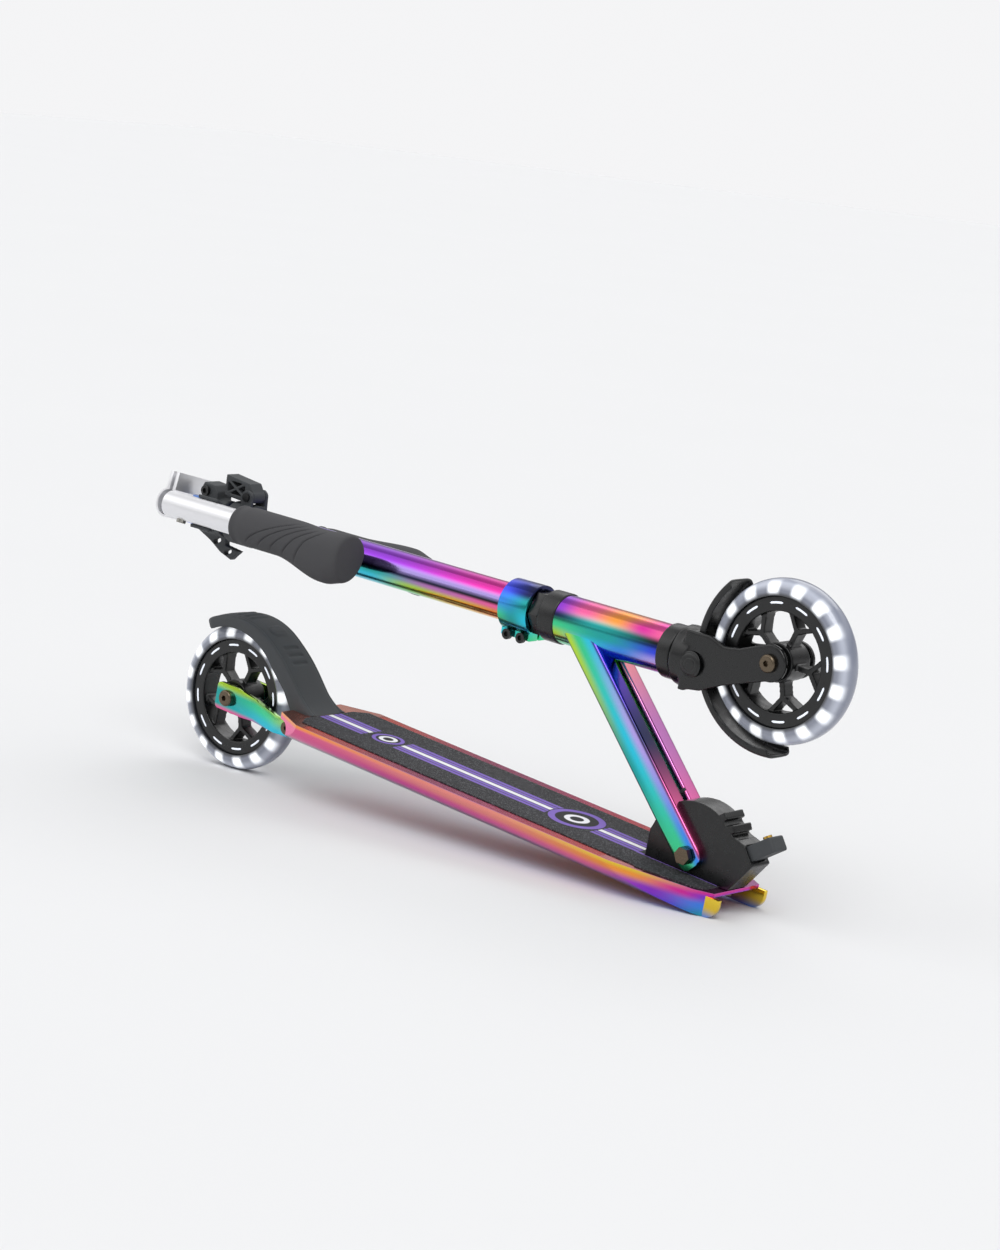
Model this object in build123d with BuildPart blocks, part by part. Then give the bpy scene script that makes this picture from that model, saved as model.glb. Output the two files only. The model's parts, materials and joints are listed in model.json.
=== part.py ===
"""Folding kick scooter with light-up wheels, folded flat. Millimetres, +Z up.

The scooter stands folded on its rear wheel and on the front ends of the deck rails.
The deck frame has its origin on the rear axle, x forward along the deck and z square to it.
The bar frame has its origin at the foot of the front axle on the steering axis: "along" runs
up the bar to the handles, "up" is the side that faces forward when the scooter is ridden.
"""

from build123d import *
import math
import os

os.makedirs("parts", exist_ok=True)

# ---- clearances ----
running_gap = 0.05
free_gap = 0.3
side_gap = 0.5

# ---- wheels ----
wheel_radius = 62.5
tyre_half_width = 12.0
tyre_thickness = 13.0
rim_depth = 11.5
hub_radius = 15.0
bearing_radius = 11.0
bearing_width = 7.0
axle_radius = 4.0
spacer_radius = 5.8
axle_head_radius = 7.0
axle_head_height = 4.0
axle_hex_radius = 2.6
spoke_count = 5
spoke_width = 4.5
spoke_half_depth = 6.0
led_count = 16
core_radius = wheel_radius - tyre_thickness
core_half_width = tyre_half_width - 2.5
rim_inner_radius = core_radius - rim_depth

# ---- deck ----
deck_front = 527.0
deck_half_width = 52.0
deck_front_half_width = 37.0
deck_rear_half_width = 36.0
deck_top_height = 14.4
plate_thickness = 3.0
rail_bottom = -4.8
rail_half_gap = 28.0
rail_thickness = 4.0
rail_nose = 7.0
rail_corner = 11.0
dropout_tail = 13.0
dropout_half_height = 11.5
dropout_clearance = 3.5
tape_half_width = 41.0
tape_thickness = 0.8
groove_count = 6
groove_width = 0.7
groove_depth = 0.4
notch_half_width = 22.0
bolt_head = 3.0
nut_height = 5.0
rail_front = deck_front + rail_nose
deck_rear = wheel_radius + 15.5
deck_shoulder = deck_rear + 34.0
deck_taper_start = deck_front - 91.0
notch_front = deck_rear + 15.0
dropout_half_gap = tyre_half_width + dropout_clearance
jog_end = deck_rear - 8.0
jog_start = jog_end - 36.0

# ---- brake fender ----
brake_hinge_z = 1.7
brake_bolt_radius = 3.0
brake_head_radius = 5.5
brake_hex_radius = 2.2
fender_half_width = 20.5
fender_wall = 2.8
fender_crown_wall = 3.5
fender_tail_angle = 128.0
brake_plate_thickness = 1.2
brake_plate_half_width = 9.0
spring_half_length = 9.0
spring_radius = 5.0
brake_hinge_x = deck_rear + 6.3
fender_inner = wheel_radius + 5.3
fender_outer = fender_inner + fender_crown_wall
fender_skirt = wheel_radius - 2.0
fender_foot = deck_rear + 19.5

# ---- folding block, pivot and release button ----
pivot_z = 30.0
pivot_radius = 4.0
pivot_head_radius = 7.5
pivot_nut_radius = 7.0
block_half_width = 12.0
block_radius = 41.0
block_rear_height = 45.0
block_screw_radius = 4.6
block_screw_height = 4.0
tooth_reach = 45.0
tooth_angles = (60.0, 45.0, 30.0)
button_half_width = 9.0
button_angle = 38.0
button_travel = 5.0
button_length = 22.0
button_inside = 12.0
button_height = 12.0
button_screw_radius = 3.6
button_spring_radius = 3.4
button_spring_wire = 1.0
pivot_x = deck_front - 39.5
block_rear = pivot_x - 41.5

# ---- bar tubes ----
bar_radius = 15.5
bar_wall = 1.3
inner_bar_wall = 1.7
bar_bore = bar_radius - bar_wall
steerer_radius = bar_bore - free_gap
inner_bar_radius = steerer_radius - 1.2

# ---- neck ----
bar_droop = 3.6
pivot_below_axis = 145.4
pivot_behind_axle = 49.0
leg_width = 23.0
leg_outer = 18.5
leg_inner = 3.0
leg_foot_inner = 12.5
leg_angle = 46.8
leg_foot_length = 50.0
leg_plug_depth = 3.0
leg_end_reach = 11.0
leg_hole_from_pivot = 86.0
leg_hole_radius = 2.6
head_length = 102.0
head_tube_bore = steerer_radius + 3.1
head_tube_radius = head_tube_bore + 2.4

# ---- fork and headset ----
fork_offset = 16.2
fork_arm_thickness = 5.0
front_fender_gap = 10.0
front_fender_wall = 2.2
crown_height = 16.0
cup_height = 14.0
dropout_boss_radius = 14.5
locknut_radius = 19.0
fender_start_angle = -97.0
fender_end_angle = 46.0
fender_screw_radius = 1.5
fender_screw_side = 9.5
fender_screw_grip = 5.0
fender_screw_head = 3.2
fork_inner = dropout_half_gap
fork_outer = fork_inner + fork_arm_thickness
fender_radius = wheel_radius + front_fender_gap
bridge_low = fender_radius + side_gap
crown_low = bridge_low - 17.0
crown_high = bridge_low + crown_height
head_low = crown_high + cup_height
head_high = head_low + head_length
headset_top = head_high + 17.0
locknut_top = headset_top + 9.0
cup_radius = head_tube_radius + 2.1
crown_radius = cup_radius + 2.5
fender_screw_up = fork_offset + 2.0

# ---- collar, bar clamp and lever ----
collar_length = 29.0
collar_wall = 5.5
collar_bolt_up = -22.0
collar_bolt_radius = 2.5
collar_ear_half_width = 11.0
socket_head_radius = 4.3
socket_hex_radius = 2.4
collar_low = locknut_top + 1.0
collar_high = collar_low + collar_length
collar_radius = bar_radius + collar_wall
collar_bolts = (collar_low + 7.5, collar_high - 7.5)
bar_low = collar_low + 1.0
bar_high = 568.0
clamp_length = 22.0
clamp_lip = 2.0
ear_thickness = 3.0
ear_radius = 6.0
lever_half_width = 7.0
lever_length = 29.0
lever_root_radius = 5.6
lever_pin_radius = 2.5
lever_pin_head = 1.5
clamp_low = bar_high - clamp_length
clamp_radius = bar_radius + 2.6
lever_pin_along = clamp_low + 6.0
lever_pin_up = bar_radius + 9.5
lever_tip = lever_pin_along + lever_length
lever_top = lever_pin_up + 14.0

# ---- height pin ----
pin_radius = 3.0
height_steps = (70.0, 150.0, 230.0)
pin_along = collar_high + 39.0
pin_tip = bar_bore - free_gap
pin_flange = inner_bar_radius - inner_bar_wall - 2.0
spring_leaf = 0.9
inner_bar_low = pin_along - 30.0

# ---- cross tube and handles ----
bar_twist = 12.5
cross_half_length = 28.0
cross_slot = 3.5
cross_ear = 3.5
cross_ear_top = 27.0
cross_button_inset = 13.0
handle_radius = 11.0
handle_wall = 1.5
handle_reach = 39.0
handle_tube_length = 205.0
bore_gap = 0.1
cross_radius = handle_radius + 1.8
grip_start = 72.0
grip_length = 149.0
grip_radius = handle_radius + 6.0
grip_collar = grip_radius - 1.5
grip_flare = grip_radius + 5.0
grip_end_radius = grip_radius + 3.5
grip_half_width = grip_radius + 2.0
holder_length = 29.0
holder_wall = 3.3
holder_half_width = 9.0
holder_bolt_up = 21.0
fin_half_width = 3.0
clip_length = 22.0
clip_from_tip = 28.0
clip_wall = 3.0
clip_arm_height = 14.0
button_radius = 4.0
button_from_tip = 17.0
button_rise = 2.5
button_flange = handle_radius - handle_wall - 1.6
holder_low = bar_high + 9.0
holder_high = holder_low + holder_length
cross_along = holder_high + 21.0
handle_tip = {"right": holder_high + 6.0, "left": holder_high - 12.0}

# ---- frames ----
rail_outer = rail_half_gap + rail_thickness
corner_x = rail_front - rail_corner
corner_z = rail_bottom + rail_corner
corner_distance = math.hypot(corner_x, corner_z)
# The deck leans nose down until the rear tyre and the rounded rail corners share one floor.
tilt = math.asin((wheel_radius - rail_corner) / corner_distance) + math.atan2(corner_z, corner_x)

deck_x = Vector(math.cos(tilt), 0, -math.sin(tilt))
deck_z = Vector(math.sin(tilt), 0, math.cos(tilt))
left = Vector(0, 1, 0)
droop = math.radians(bar_droop)
bar_dir = deck_x * -math.cos(droop) - deck_z * math.sin(droop)
bar_up = deck_x * -math.sin(droop) + deck_z * math.cos(droop)

# The whole scooter is centred over the origin: its length runs from the cross tube to the front tyre.
pivot_local = deck_x * pivot_x + deck_z * pivot_z
axle_foot_local = pivot_local - bar_dir * pivot_behind_axle + bar_up * pivot_below_axis
front_axle_local = axle_foot_local + bar_up * fork_offset
nose_x = front_axle_local.X + wheel_radius
tail_x = (axle_foot_local + bar_dir * (cross_along + cross_radius)).X
rear_axle = Vector(-(nose_x + tail_x) / 2, 0, wheel_radius)
axle_foot = rear_axle + axle_foot_local
front_axle = rear_axle + front_axle_local
pivot = rear_axle + pivot_local


def deck_point(x, y, z):
    """A point given in the deck frame."""
    return rear_axle + deck_x * x + left * y + deck_z * z


def deck_side(y=0.0):
    """Side view of the deck at y: x forward, y up, extruding towards the right."""
    return Plane(origin=deck_point(0, y, 0), x_dir=deck_x, z_dir=-left)


def deck_level(z=0.0):
    """Top view of the deck at height z: x forward, y left."""
    return Plane(origin=deck_point(0, 0, z), x_dir=deck_x, z_dir=deck_z)


def deck_section(x):
    """Cross-section of the deck at x: x left, y up, extruding forward."""
    return Plane(origin=deck_point(x, 0, 0), x_dir=left, z_dir=deck_x)


def bar_axes(twist):
    """The bar frame's right and up directions, turned about the bar by twist degrees."""
    turn = math.radians(twist)
    right = left * -math.cos(turn) + bar_up * math.sin(turn)
    up = left * math.sin(turn) + bar_up * math.cos(turn)
    return right, up


def bar_section(along, twist=0.0):
    """Cross-section of the bar: x to the right, y up, extruding towards the handles."""
    right, up = bar_axes(twist)
    return Plane(origin=axle_foot + bar_dir * along, x_dir=right, z_dir=bar_dir)


def bar_side(offset=0.0, twist=0.0):
    """Side view of the bar, offset to the right: x along the bar, y up, extruding to the left."""
    right, up = bar_axes(twist)
    return Plane(origin=axle_foot + right * offset, x_dir=bar_dir, z_dir=-right)


def bar_top(height=0.0, twist=0.0):
    """Top view of the bar at a height: x along the bar, y to the right, extruding up."""
    right, up = bar_axes(twist)
    return Plane(origin=axle_foot + up * height, x_dir=bar_dir, z_dir=up)


def save(piece, label):
    """Label a finished piece and write its STEP file."""
    piece.part.label = label
    export_step(piece.part, f"parts/{label}.step")


# ================= deck =================
with BuildPart() as deck_top:
    with BuildSketch(deck_section(deck_rear - 5)):
        with BuildLine():
            top_edge = Line((0, deck_top_height), (deck_half_width, deck_top_height))
            lip = Line(top_edge @ 1, (deck_half_width, deck_top_height - plate_thickness))
            foot = (rail_outer + 1.0, rail_bottom)
            curve = Bezier(lip @ 1, (deck_half_width - 2, 2.0), (rail_outer + 9, rail_bottom + 1), foot)
            Polyline(
                curve @ 1,
                (rail_outer, rail_bottom),
                (rail_outer, deck_top_height - plate_thickness),
                (0, deck_top_height - plate_thickness),
                (0, deck_top_height),
            )
        make_face()
        mirror(about=Plane.YZ)
    extrude(amount=deck_front - deck_rear + 10)
    with BuildSketch(deck_level(rail_bottom - 5)):
        with BuildLine():
            Polyline(
                (deck_rear, 0),
                (deck_rear, deck_rear_half_width),
                (deck_shoulder, deck_half_width + 1),
                (deck_taper_start, deck_half_width + 1),
                (deck_front - 14, deck_front_half_width),
                (deck_front, rail_outer - 3),
                (deck_front, 0),
            )
            mirror(about=Plane.XZ)
        make_face()
    extrude(amount=40, mode=Mode.INTERSECT)
    with BuildSketch(deck_level(deck_top_height)):
        strip = deck_half_width - tape_half_width
        pitch = strip / (groove_count + 1)
        for side in (1, -1):
            for index in range(groove_count):
                groove_y = side * (tape_half_width + pitch * (index + 1))
                with Locations(((deck_shoulder + deck_taper_start) / 2, groove_y)):
                    Rectangle(deck_taper_start - deck_shoulder - 6, groove_width)
    extrude(amount=-groove_depth, mode=Mode.SUBTRACT)
    with BuildSketch(deck_level(deck_top_height)):
        with Locations(((deck_rear + notch_front) / 2, 0)):
            Rectangle(notch_front - deck_rear, 2 * notch_half_width)
    extrude(amount=-40, mode=Mode.SUBTRACT)
    for start in (deck_half_width + 2, -rail_outer):
        with BuildSketch(deck_side(start)):
            with Locations((brake_hinge_x - 2, brake_hinge_z)):
                SlotOverall(20, 14)
        extrude(amount=deck_half_width + 2 - rail_outer, mode=Mode.SUBTRACT)
save(deck_top, "deck_top")

for side, sign in (("left", 1), ("right", -1)):
    with BuildPart() as deck_rail:
        with BuildSketch(deck_level(-dropout_half_height - 5)):
            with BuildLine():
                inner = Polyline(
                    (-dropout_tail, sign * dropout_half_gap),
                    (jog_start, sign * dropout_half_gap),
                    (jog_end, sign * rail_half_gap),
                    (rail_front, sign * rail_half_gap),
                )
                Line(inner @ 1, (rail_front, sign * rail_outer))
                outer = Polyline(
                    (rail_front, sign * rail_outer),
                    (jog_end - 1.5, sign * rail_outer),
                    (jog_start - 1.5, sign * (dropout_half_gap + rail_thickness)),
                    (-dropout_tail, sign * (dropout_half_gap + rail_thickness)),
                )
                Line(outer @ 1, inner @ 0)
            make_face()
        extrude(amount=40)
        with BuildSketch(deck_side(40)):
            with BuildLine():
                Polyline(
                    (-dropout_tail, -dropout_half_height),
                    (18, -dropout_half_height),
                    (jog_end, rail_bottom - 2.5),
                    (jog_end + 34, rail_bottom),
                    (rail_front, rail_bottom),
                    (rail_front, deck_top_height - plate_thickness),
                    (deck_rear + 20, deck_top_height - plate_thickness),
                    (jog_end + 4, 7.5),
                    (jog_start + 4, 8.0),
                    (10, dropout_half_height),
                    (-dropout_tail, dropout_half_height),
                    (-dropout_tail, -dropout_half_height),
                )
            make_face()
        extrude(amount=80, mode=Mode.INTERSECT)
        cross_edges = deck_rail.edges().filter_by(Axis.Y)
        tail_edges = cross_edges.sort_by(Axis(deck_point(0, 0, 0), deck_x))[:2]
        fillet(tail_edges, 4.0)
        cross_edges = deck_rail.edges().filter_by(Axis.Y).sort_by(Axis(deck_point(0, 0, 0), deck_x))
        nose_edges = cross_edges[-2:].sort_by(Axis(deck_point(0, 0, 0), deck_z))
        fillet(nose_edges[0], rail_corner)
        with BuildSketch(deck_side(40)):
            Circle(axle_radius + running_gap)
            with Locations((brake_hinge_x, brake_hinge_z)):
                Circle(brake_bolt_radius + running_gap)
        extrude(amount=80, mode=Mode.SUBTRACT)
    save(deck_rail, f"{side}_deck_rail")

with BuildPart() as grip_tape:
    with BuildSketch(deck_level(deck_top_height)):
        tape_end = deck_front - 8
        with BuildLine():
            Polyline(
                (fender_foot + 1.5, 0),
                (fender_foot + 1.5, tape_half_width - 12),
                (fender_foot + 9, tape_half_width),
                (deck_taper_start + 22, tape_half_width),
                (deck_taper_start + 25, deck_half_width - 9),
                (tape_end - 6, deck_front_half_width - 3),
                (tape_end, rail_half_gap),
                (tape_end, 0),
            )
            mirror(about=Plane.XZ)
        make_face()
        with Locations(((block_rear + tape_end) / 2, 0)):
            Rectangle(tape_end - block_rear + 1, 2 * (block_half_width + side_gap), mode=Mode.SUBTRACT)
    extrude(amount=tape_thickness)
save(grip_tape, "grip_tape")


# ================= wheels =================
def build_wheel(name, centre):
    """The parts of one light-up wheel and its axle, about the wheel's centre."""
    face = Plane(origin=centre, x_dir=deck_x, z_dir=-left)
    radial = Plane(origin=centre, x_dir=left, z_dir=deck_x)
    axle = Axis(centre, left)
    inner_face = tyre_half_width - bearing_width
    bearing_seat = bearing_radius - 1.8
    spoke_middle = (hub_radius + rim_inner_radius) / 2
    with BuildPart() as core:
        with BuildSketch(face):
            Circle(core_radius)
            Circle(rim_inner_radius, mode=Mode.SUBTRACT)
        extrude(amount=core_half_width, both=True)
        with BuildSketch(face):
            with PolarLocations(spoke_middle - 6.5, spoke_count):
                Rectangle(14, spoke_width)
            for lean in (1, -1):
                with PolarLocations(spoke_middle + 6.5, spoke_count, start_angle=lean * 12):
                    Rectangle(17, spoke_width - 0.7, rotation=lean * 38)
        extrude(amount=spoke_half_depth, both=True)
        with BuildSketch(face):
            Circle(hub_radius)
        extrude(amount=tyre_half_width, both=True)
        with BuildSketch(face):
            Circle(bearing_seat)
        extrude(amount=tyre_half_width, both=True, mode=Mode.SUBTRACT)
        for offset in (inner_face, -tyre_half_width):
            with BuildSketch(face.offset(offset)):
                Circle(bearing_radius)
            extrude(amount=bearing_width, mode=Mode.SUBTRACT)
        with BuildSketch(radial):
            with Locations((0, core_radius)):
                Rectangle(6.4, 5.4)
        revolve(axis=axle, mode=Mode.SUBTRACT)
    save(core, f"{name}_wheel_core")

    with BuildPart() as tyre:
        with BuildSketch(radial):
            with BuildLine():
                shoulder = core_radius + 2.5
                ThreePointArc((-tyre_half_width, shoulder), (0, wheel_radius), (tyre_half_width, shoulder))
                Polyline(
                    (tyre_half_width, shoulder),
                    (tyre_half_width - 1, core_radius),
                    (-tyre_half_width + 1, core_radius),
                    (-tyre_half_width, shoulder),
                )
            make_face()
        revolve(axis=axle)
    save(tyre, f"{name}_tyre")

    with BuildPart() as bearings:
        for offset in (inner_face, -tyre_half_width):
            with BuildSketch(face.offset(offset)):
                Circle(bearing_radius)
                Circle(axle_radius + running_gap, mode=Mode.SUBTRACT)
            extrude(amount=bearing_width)
    save(bearings, f"{name}_bearings")

    with BuildPart() as led_ring:
        with BuildSketch(face):
            Circle(core_radius - 1.2)
            Circle(core_radius - 2.7, mode=Mode.SUBTRACT)
        extrude(amount=2.8, both=True)
        with BuildSketch(face):
            with PolarLocations(core_radius - 0.9, led_count):
                Rectangle(1.2, 3.5)
        extrude(amount=1.7, both=True)
    save(led_ring, f"{name}_led_ring")

    with BuildPart() as coil:
        with BuildSketch(face):
            Circle(bearing_seat)
            Circle(spacer_radius + 0.4, mode=Mode.SUBTRACT)
        extrude(amount=inner_face - side_gap, both=True)
    save(coil, f"{name}_generator_coil")

    with BuildPart() as spacers:
        with BuildSketch(face):
            Circle(spacer_radius)
            Circle(axle_radius + running_gap, mode=Mode.SUBTRACT)
        extrude(amount=inner_face - 0.1, both=True)
        for offset in (-dropout_half_gap, tyre_half_width + 0.1):
            with BuildSketch(face.offset(offset)):
                Circle(spacer_radius)
                Circle(axle_radius + running_gap, mode=Mode.SUBTRACT)
            extrude(amount=dropout_half_gap - tyre_half_width - 0.1)
    save(spacers, f"{name}_axle_spacers")


def build_axle(name, centre, cheek):
    """The axle bolt and its sleeve nut, whose heads bear on cheeks at the given distance."""
    face = Plane(origin=centre, x_dir=deck_x, z_dir=-left)
    with BuildPart() as bolt:
        with BuildSketch(face.offset(-cheek - 2)):
            Circle(axle_radius)
        extrude(amount=2 * cheek + 2)
        with BuildSketch(face.offset(cheek)):
            Circle(axle_head_radius)
        extrude(amount=axle_head_height)
        head_rim = bolt.faces().sort_by(Axis(centre, -left))[-1].edges()
        fillet(head_rim, 2.2)
        with BuildSketch(face.offset(cheek + axle_head_height)):
            RegularPolygon(axle_hex_radius, 6)
        extrude(amount=-2.6, mode=Mode.SUBTRACT)
    save(bolt, f"{name}_axle_bolt")
    with BuildPart() as nut:
        with BuildSketch(face.offset(-cheek - axle_head_height)):
            Circle(axle_head_radius)
        extrude(amount=axle_head_height)
        nut_rim = nut.faces().sort_by(Axis(centre, left))[-1].edges()
        fillet(nut_rim, 2.2)
        with BuildSketch(face.offset(-cheek - axle_head_height)):
            RegularPolygon(axle_hex_radius, 6)
        extrude(amount=1.6, mode=Mode.SUBTRACT)
        with BuildSketch(face.offset(-cheek)):
            Circle(axle_radius)
        extrude(amount=-2.0, mode=Mode.SUBTRACT)
    save(nut, f"{name}_axle_nut")


build_wheel("rear", rear_axle)
build_axle("rear", rear_axle, dropout_half_gap + rail_thickness)
build_wheel("front", front_axle)
build_axle("front", front_axle, fork_outer)


# ================= brake fender =================
def polar(radius, angle):
    """A point in the side view at a radius and angle about the rear axle."""
    return (radius * math.cos(math.radians(angle)), radius * math.sin(math.radians(angle)))


def between(low, high, share, rise):
    """A point at a share of the way from low to high, raised off that line."""
    return (low[0] + share * (high[0] - low[0]), low[1] + share * (high[1] - low[1]) + rise)


with BuildPart() as brake_fender:
    foot_z = deck_top_height + 0.6
    with BuildSketch(deck_side(fender_half_width)):
        with BuildLine():
            tail = fender_tail_angle
            crown = ThreePointArc(polar(fender_outer, tail), polar(fender_outer, 94), polar(fender_outer, 62))
            crown_end = polar(fender_outer, 62)
            foot_top = (fender_foot, foot_z + 1)
            hump = between(crown_end, foot_top, 0.35, 4.0)
            dip = between(crown_end, foot_top, 0.7, -1.3)
            slope = Spline(crown @ 1, hump, dip, foot_top, tangents=(crown % 1, (1, -0.35)))
            lug = Polyline(
                slope @ 1,
                (fender_foot, foot_z),
                (brake_hinge_x + 6, foot_z),
                (brake_hinge_x + 6, brake_hinge_z - 3),
                (brake_hinge_x + 2, brake_hinge_z - 6),
                (brake_hinge_x - 4, brake_hinge_z - 5),
                (brake_hinge_x - 8, 10),
                between((brake_hinge_x - 8, 10), polar(fender_skirt, 42), 0.45, 3.2),
                polar(fender_skirt, 42),
            )
            skirt = ThreePointArc(lug @ 1, polar(fender_skirt, 80), polar(fender_skirt + 2, tail - 6))
            Line(skirt @ 1, crown @ 0)
        make_face()
    extrude(amount=2 * fender_half_width)
    with BuildSketch(deck_side(fender_half_width - fender_wall)):
        with BuildLine():
            ceiling = ThreePointArc(polar(fender_inner, 150), polar(fender_inner, 100), polar(fender_inner, 60))
            under_end = (brake_hinge_x - 8.3, foot_z + 9)
            under_hump = between(polar(fender_inner, 60), under_end, 0.5, 4.2)
            under = Spline(ceiling @ 1, under_hump, under_end, tangents=(ceiling % 1, (1, -1.2)))
            Polyline(under @ 1, (brake_hinge_x - 8.3, -10), (-60, -10), ceiling @ 0)
        make_face()
    extrude(amount=2 * (fender_half_width - fender_wall), mode=Mode.SUBTRACT)
    with BuildSketch(deck_side(spring_half_length)):
        with Locations((brake_hinge_x, brake_hinge_z - 1)):
            Rectangle(24, 25)
    extrude(amount=2 * spring_half_length, mode=Mode.SUBTRACT)
    with BuildSketch(deck_side(fender_half_width + 1)):
        with Locations((brake_hinge_x, brake_hinge_z)):
            Circle(brake_bolt_radius + running_gap)
    extrude(amount=2 * fender_half_width + 2, mode=Mode.SUBTRACT)
save(brake_fender, "brake_fender")

with BuildPart() as brake_plate:
    with BuildSketch(deck_side(brake_plate_half_width)):
        with BuildLine():
            top = ThreePointArc(polar(fender_inner, 110), polar(fender_inner, 90), polar(fender_inner, 70))
            low_radius = fender_inner - brake_plate_thickness
            low = ThreePointArc(polar(low_radius, 70), polar(low_radius, 90), polar(low_radius, 110))
            Line(top @ 1, low @ 0)
            Line(low @ 1, top @ 0)
        make_face()
    extrude(amount=2 * brake_plate_half_width)
save(brake_plate, "brake_plate")

with BuildPart() as brake_bolt:
    with BuildSketch(deck_side(rail_outer)):
        with Locations((brake_hinge_x, brake_hinge_z)):
            Circle(brake_bolt_radius)
    extrude(amount=2 * rail_outer)
    for start in (rail_outer + bolt_head, -rail_outer):
        with BuildSketch(deck_side(start)):
            with Locations((brake_hinge_x, brake_hinge_z)):
                Circle(brake_head_radius)
                RegularPolygon(brake_hex_radius, 6, mode=Mode.SUBTRACT)
        extrude(amount=bolt_head)
save(brake_bolt, "brake_hinge_bolt")

with BuildPart() as brake_spring:
    with BuildSketch(deck_side(spring_half_length - 1)):
        with Locations((brake_hinge_x, brake_hinge_z)):
            Circle(spring_radius)
            Circle(brake_bolt_radius + free_gap, mode=Mode.SUBTRACT)
    extrude(amount=2 * (spring_half_length - 1))
save(brake_spring, "brake_spring")

# ================= folding block and release button =================
button_turn = math.radians(button_angle)
button_dir = deck_x * math.cos(button_turn) + deck_z * math.sin(button_turn)
button_mouth = deck_point(pivot_x + 50, 0, pivot_z + 17.5)
pocket_depth = button_inside + button_travel + 1.0


def button_section(distance):
    """Cross-section of the release button, at a distance out from the block's front face."""
    return Plane(origin=button_mouth + button_dir * distance, x_dir=left, z_dir=button_dir)


with BuildPart() as folding_block:
    with BuildSketch(deck_side(block_half_width)):
        with Locations((pivot_x, pivot_z)):
            Circle(block_radius)
        with BuildLine():
            base = deck_top_height
            Polyline(
                (block_rear, base),
                (block_rear, base + 22),
                (block_rear + 3, block_rear_height - 2),
                (block_rear + 8, block_rear_height + 2),
                (pivot_x - 22, pivot_z + 33),
                (pivot_x + 30, pivot_z + 27),
                (pivot_x + 38, pivot_z + 24.5),
                (pivot_x + 45.5, pivot_z + 22.8),
                (pivot_x + 56, pivot_z + 9.5),
                (pivot_x + 49, pivot_z - 1),
                (pivot_x + 39, base),
                (block_rear, base),
            )
        make_face()
        for angle in tooth_angles:
            turn = math.radians(angle)
            middle = (block_radius + tooth_reach) / 2 - 1
            with Locations((pivot_x + middle * math.cos(turn), pivot_z + middle * math.sin(turn))):
                Rectangle(tooth_reach - block_radius + 4, 6.0, rotation=angle - 18)
        with Locations((pivot_x, base - 25)):
            Rectangle(140, 50, mode=Mode.SUBTRACT)
        with Locations((pivot_x, pivot_z)):
            Circle(pivot_radius + running_gap, mode=Mode.SUBTRACT)
    extrude(amount=2 * block_half_width)
    with BuildSketch(button_section(2)):
        Rectangle(2 * (button_half_width + free_gap), button_height + 2 * free_gap)
    extrude(amount=-pocket_depth - 2, mode=Mode.SUBTRACT)
save(folding_block, "folding_block")

with BuildPart() as release_button:
    with BuildSketch(button_section(-button_inside)):
        Rectangle(2 * button_half_width, button_height)
    extrude(amount=button_length + button_inside)
    tip_edges = release_button.faces().sort_by(Axis(button_mouth, button_dir))[-1].edges()
    fillet(tip_edges, 2.0)
    with BuildSketch(button_section(-button_inside)):
        Circle(button_spring_radius + side_gap)
    extrude(amount=10, mode=Mode.SUBTRACT)
save(release_button, "release_button")

with BuildPart() as release_spring:
    with BuildSketch(button_section(-pocket_depth)):
        Circle(button_spring_radius)
        Circle(button_spring_radius - button_spring_wire, mode=Mode.SUBTRACT)
    extrude(amount=pocket_depth - button_inside + 4)
save(release_spring, "release_spring")

with BuildPart() as button_screw:
    under_button = Plane(
        origin=button_mouth + button_dir * 14 + button_dir.cross(left) * (button_height / 2),
        x_dir=button_dir,
        z_dir=button_dir.cross(left),
    )
    with BuildSketch(under_button):
        Circle(button_screw_radius)
    extrude(amount=2.2)
    with BuildSketch(under_button.offset(2.2)):
        Rectangle(5.0, 0.9)
    extrude(amount=-0.9, mode=Mode.SUBTRACT)
save(button_screw, "button_screw")

with BuildPart() as block_screws:
    for screw_x in (block_rear + 8, pivot_x - 16, pivot_x + 8, pivot_x + 31):
        with BuildSketch(deck_level(deck_top_height - plate_thickness)):
            with Locations((screw_x, 0)):
                RegularPolygon(block_screw_radius, 6)
        extrude(amount=-block_screw_height)
save(block_screws, "block_screws")

with BuildPart() as pivot_bolt:
    with BuildSketch(deck_side(leg_outer)):
        with Locations((pivot_x, pivot_z)):
            Circle(pivot_radius)
    extrude(amount=2 * leg_outer + side_gap + nut_height)
    with BuildSketch(deck_side(leg_outer + side_gap + bolt_head)):
        with Locations((pivot_x, pivot_z)):
            Circle(pivot_head_radius)
            RegularPolygon(axle_hex_radius, 6, mode=Mode.SUBTRACT)
    extrude(amount=bolt_head)
    with BuildSketch(deck_side(leg_outer + side_gap)):
        with Locations((pivot_x, pivot_z)):
            Circle(pivot_radius)
    extrude(amount=side_gap)
save(pivot_bolt, "pivot_bolt")

with BuildPart() as pivot_nut:
    with BuildSketch(deck_side(-leg_outer - side_gap)):
        with Locations((pivot_x, pivot_z)):
            RegularPolygon(pivot_nut_radius, 6)
            Circle(pivot_radius, mode=Mode.SUBTRACT)
    extrude(amount=nut_height)
save(pivot_nut, "pivot_nut")

# ================= neck =================
leg_turn = math.radians(leg_angle)
leg_dir = bar_dir * math.cos(leg_turn) + bar_up * math.sin(leg_turn)
leg_length = pivot_below_axis / math.sin(leg_turn) - 8.0


def leg_side(y):
    """Side view of a neck leg at y: x up the leg from the pivot, y forward, extruding left."""
    return Plane(origin=pivot + left * y, x_dir=leg_dir, z_dir=left)


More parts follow.
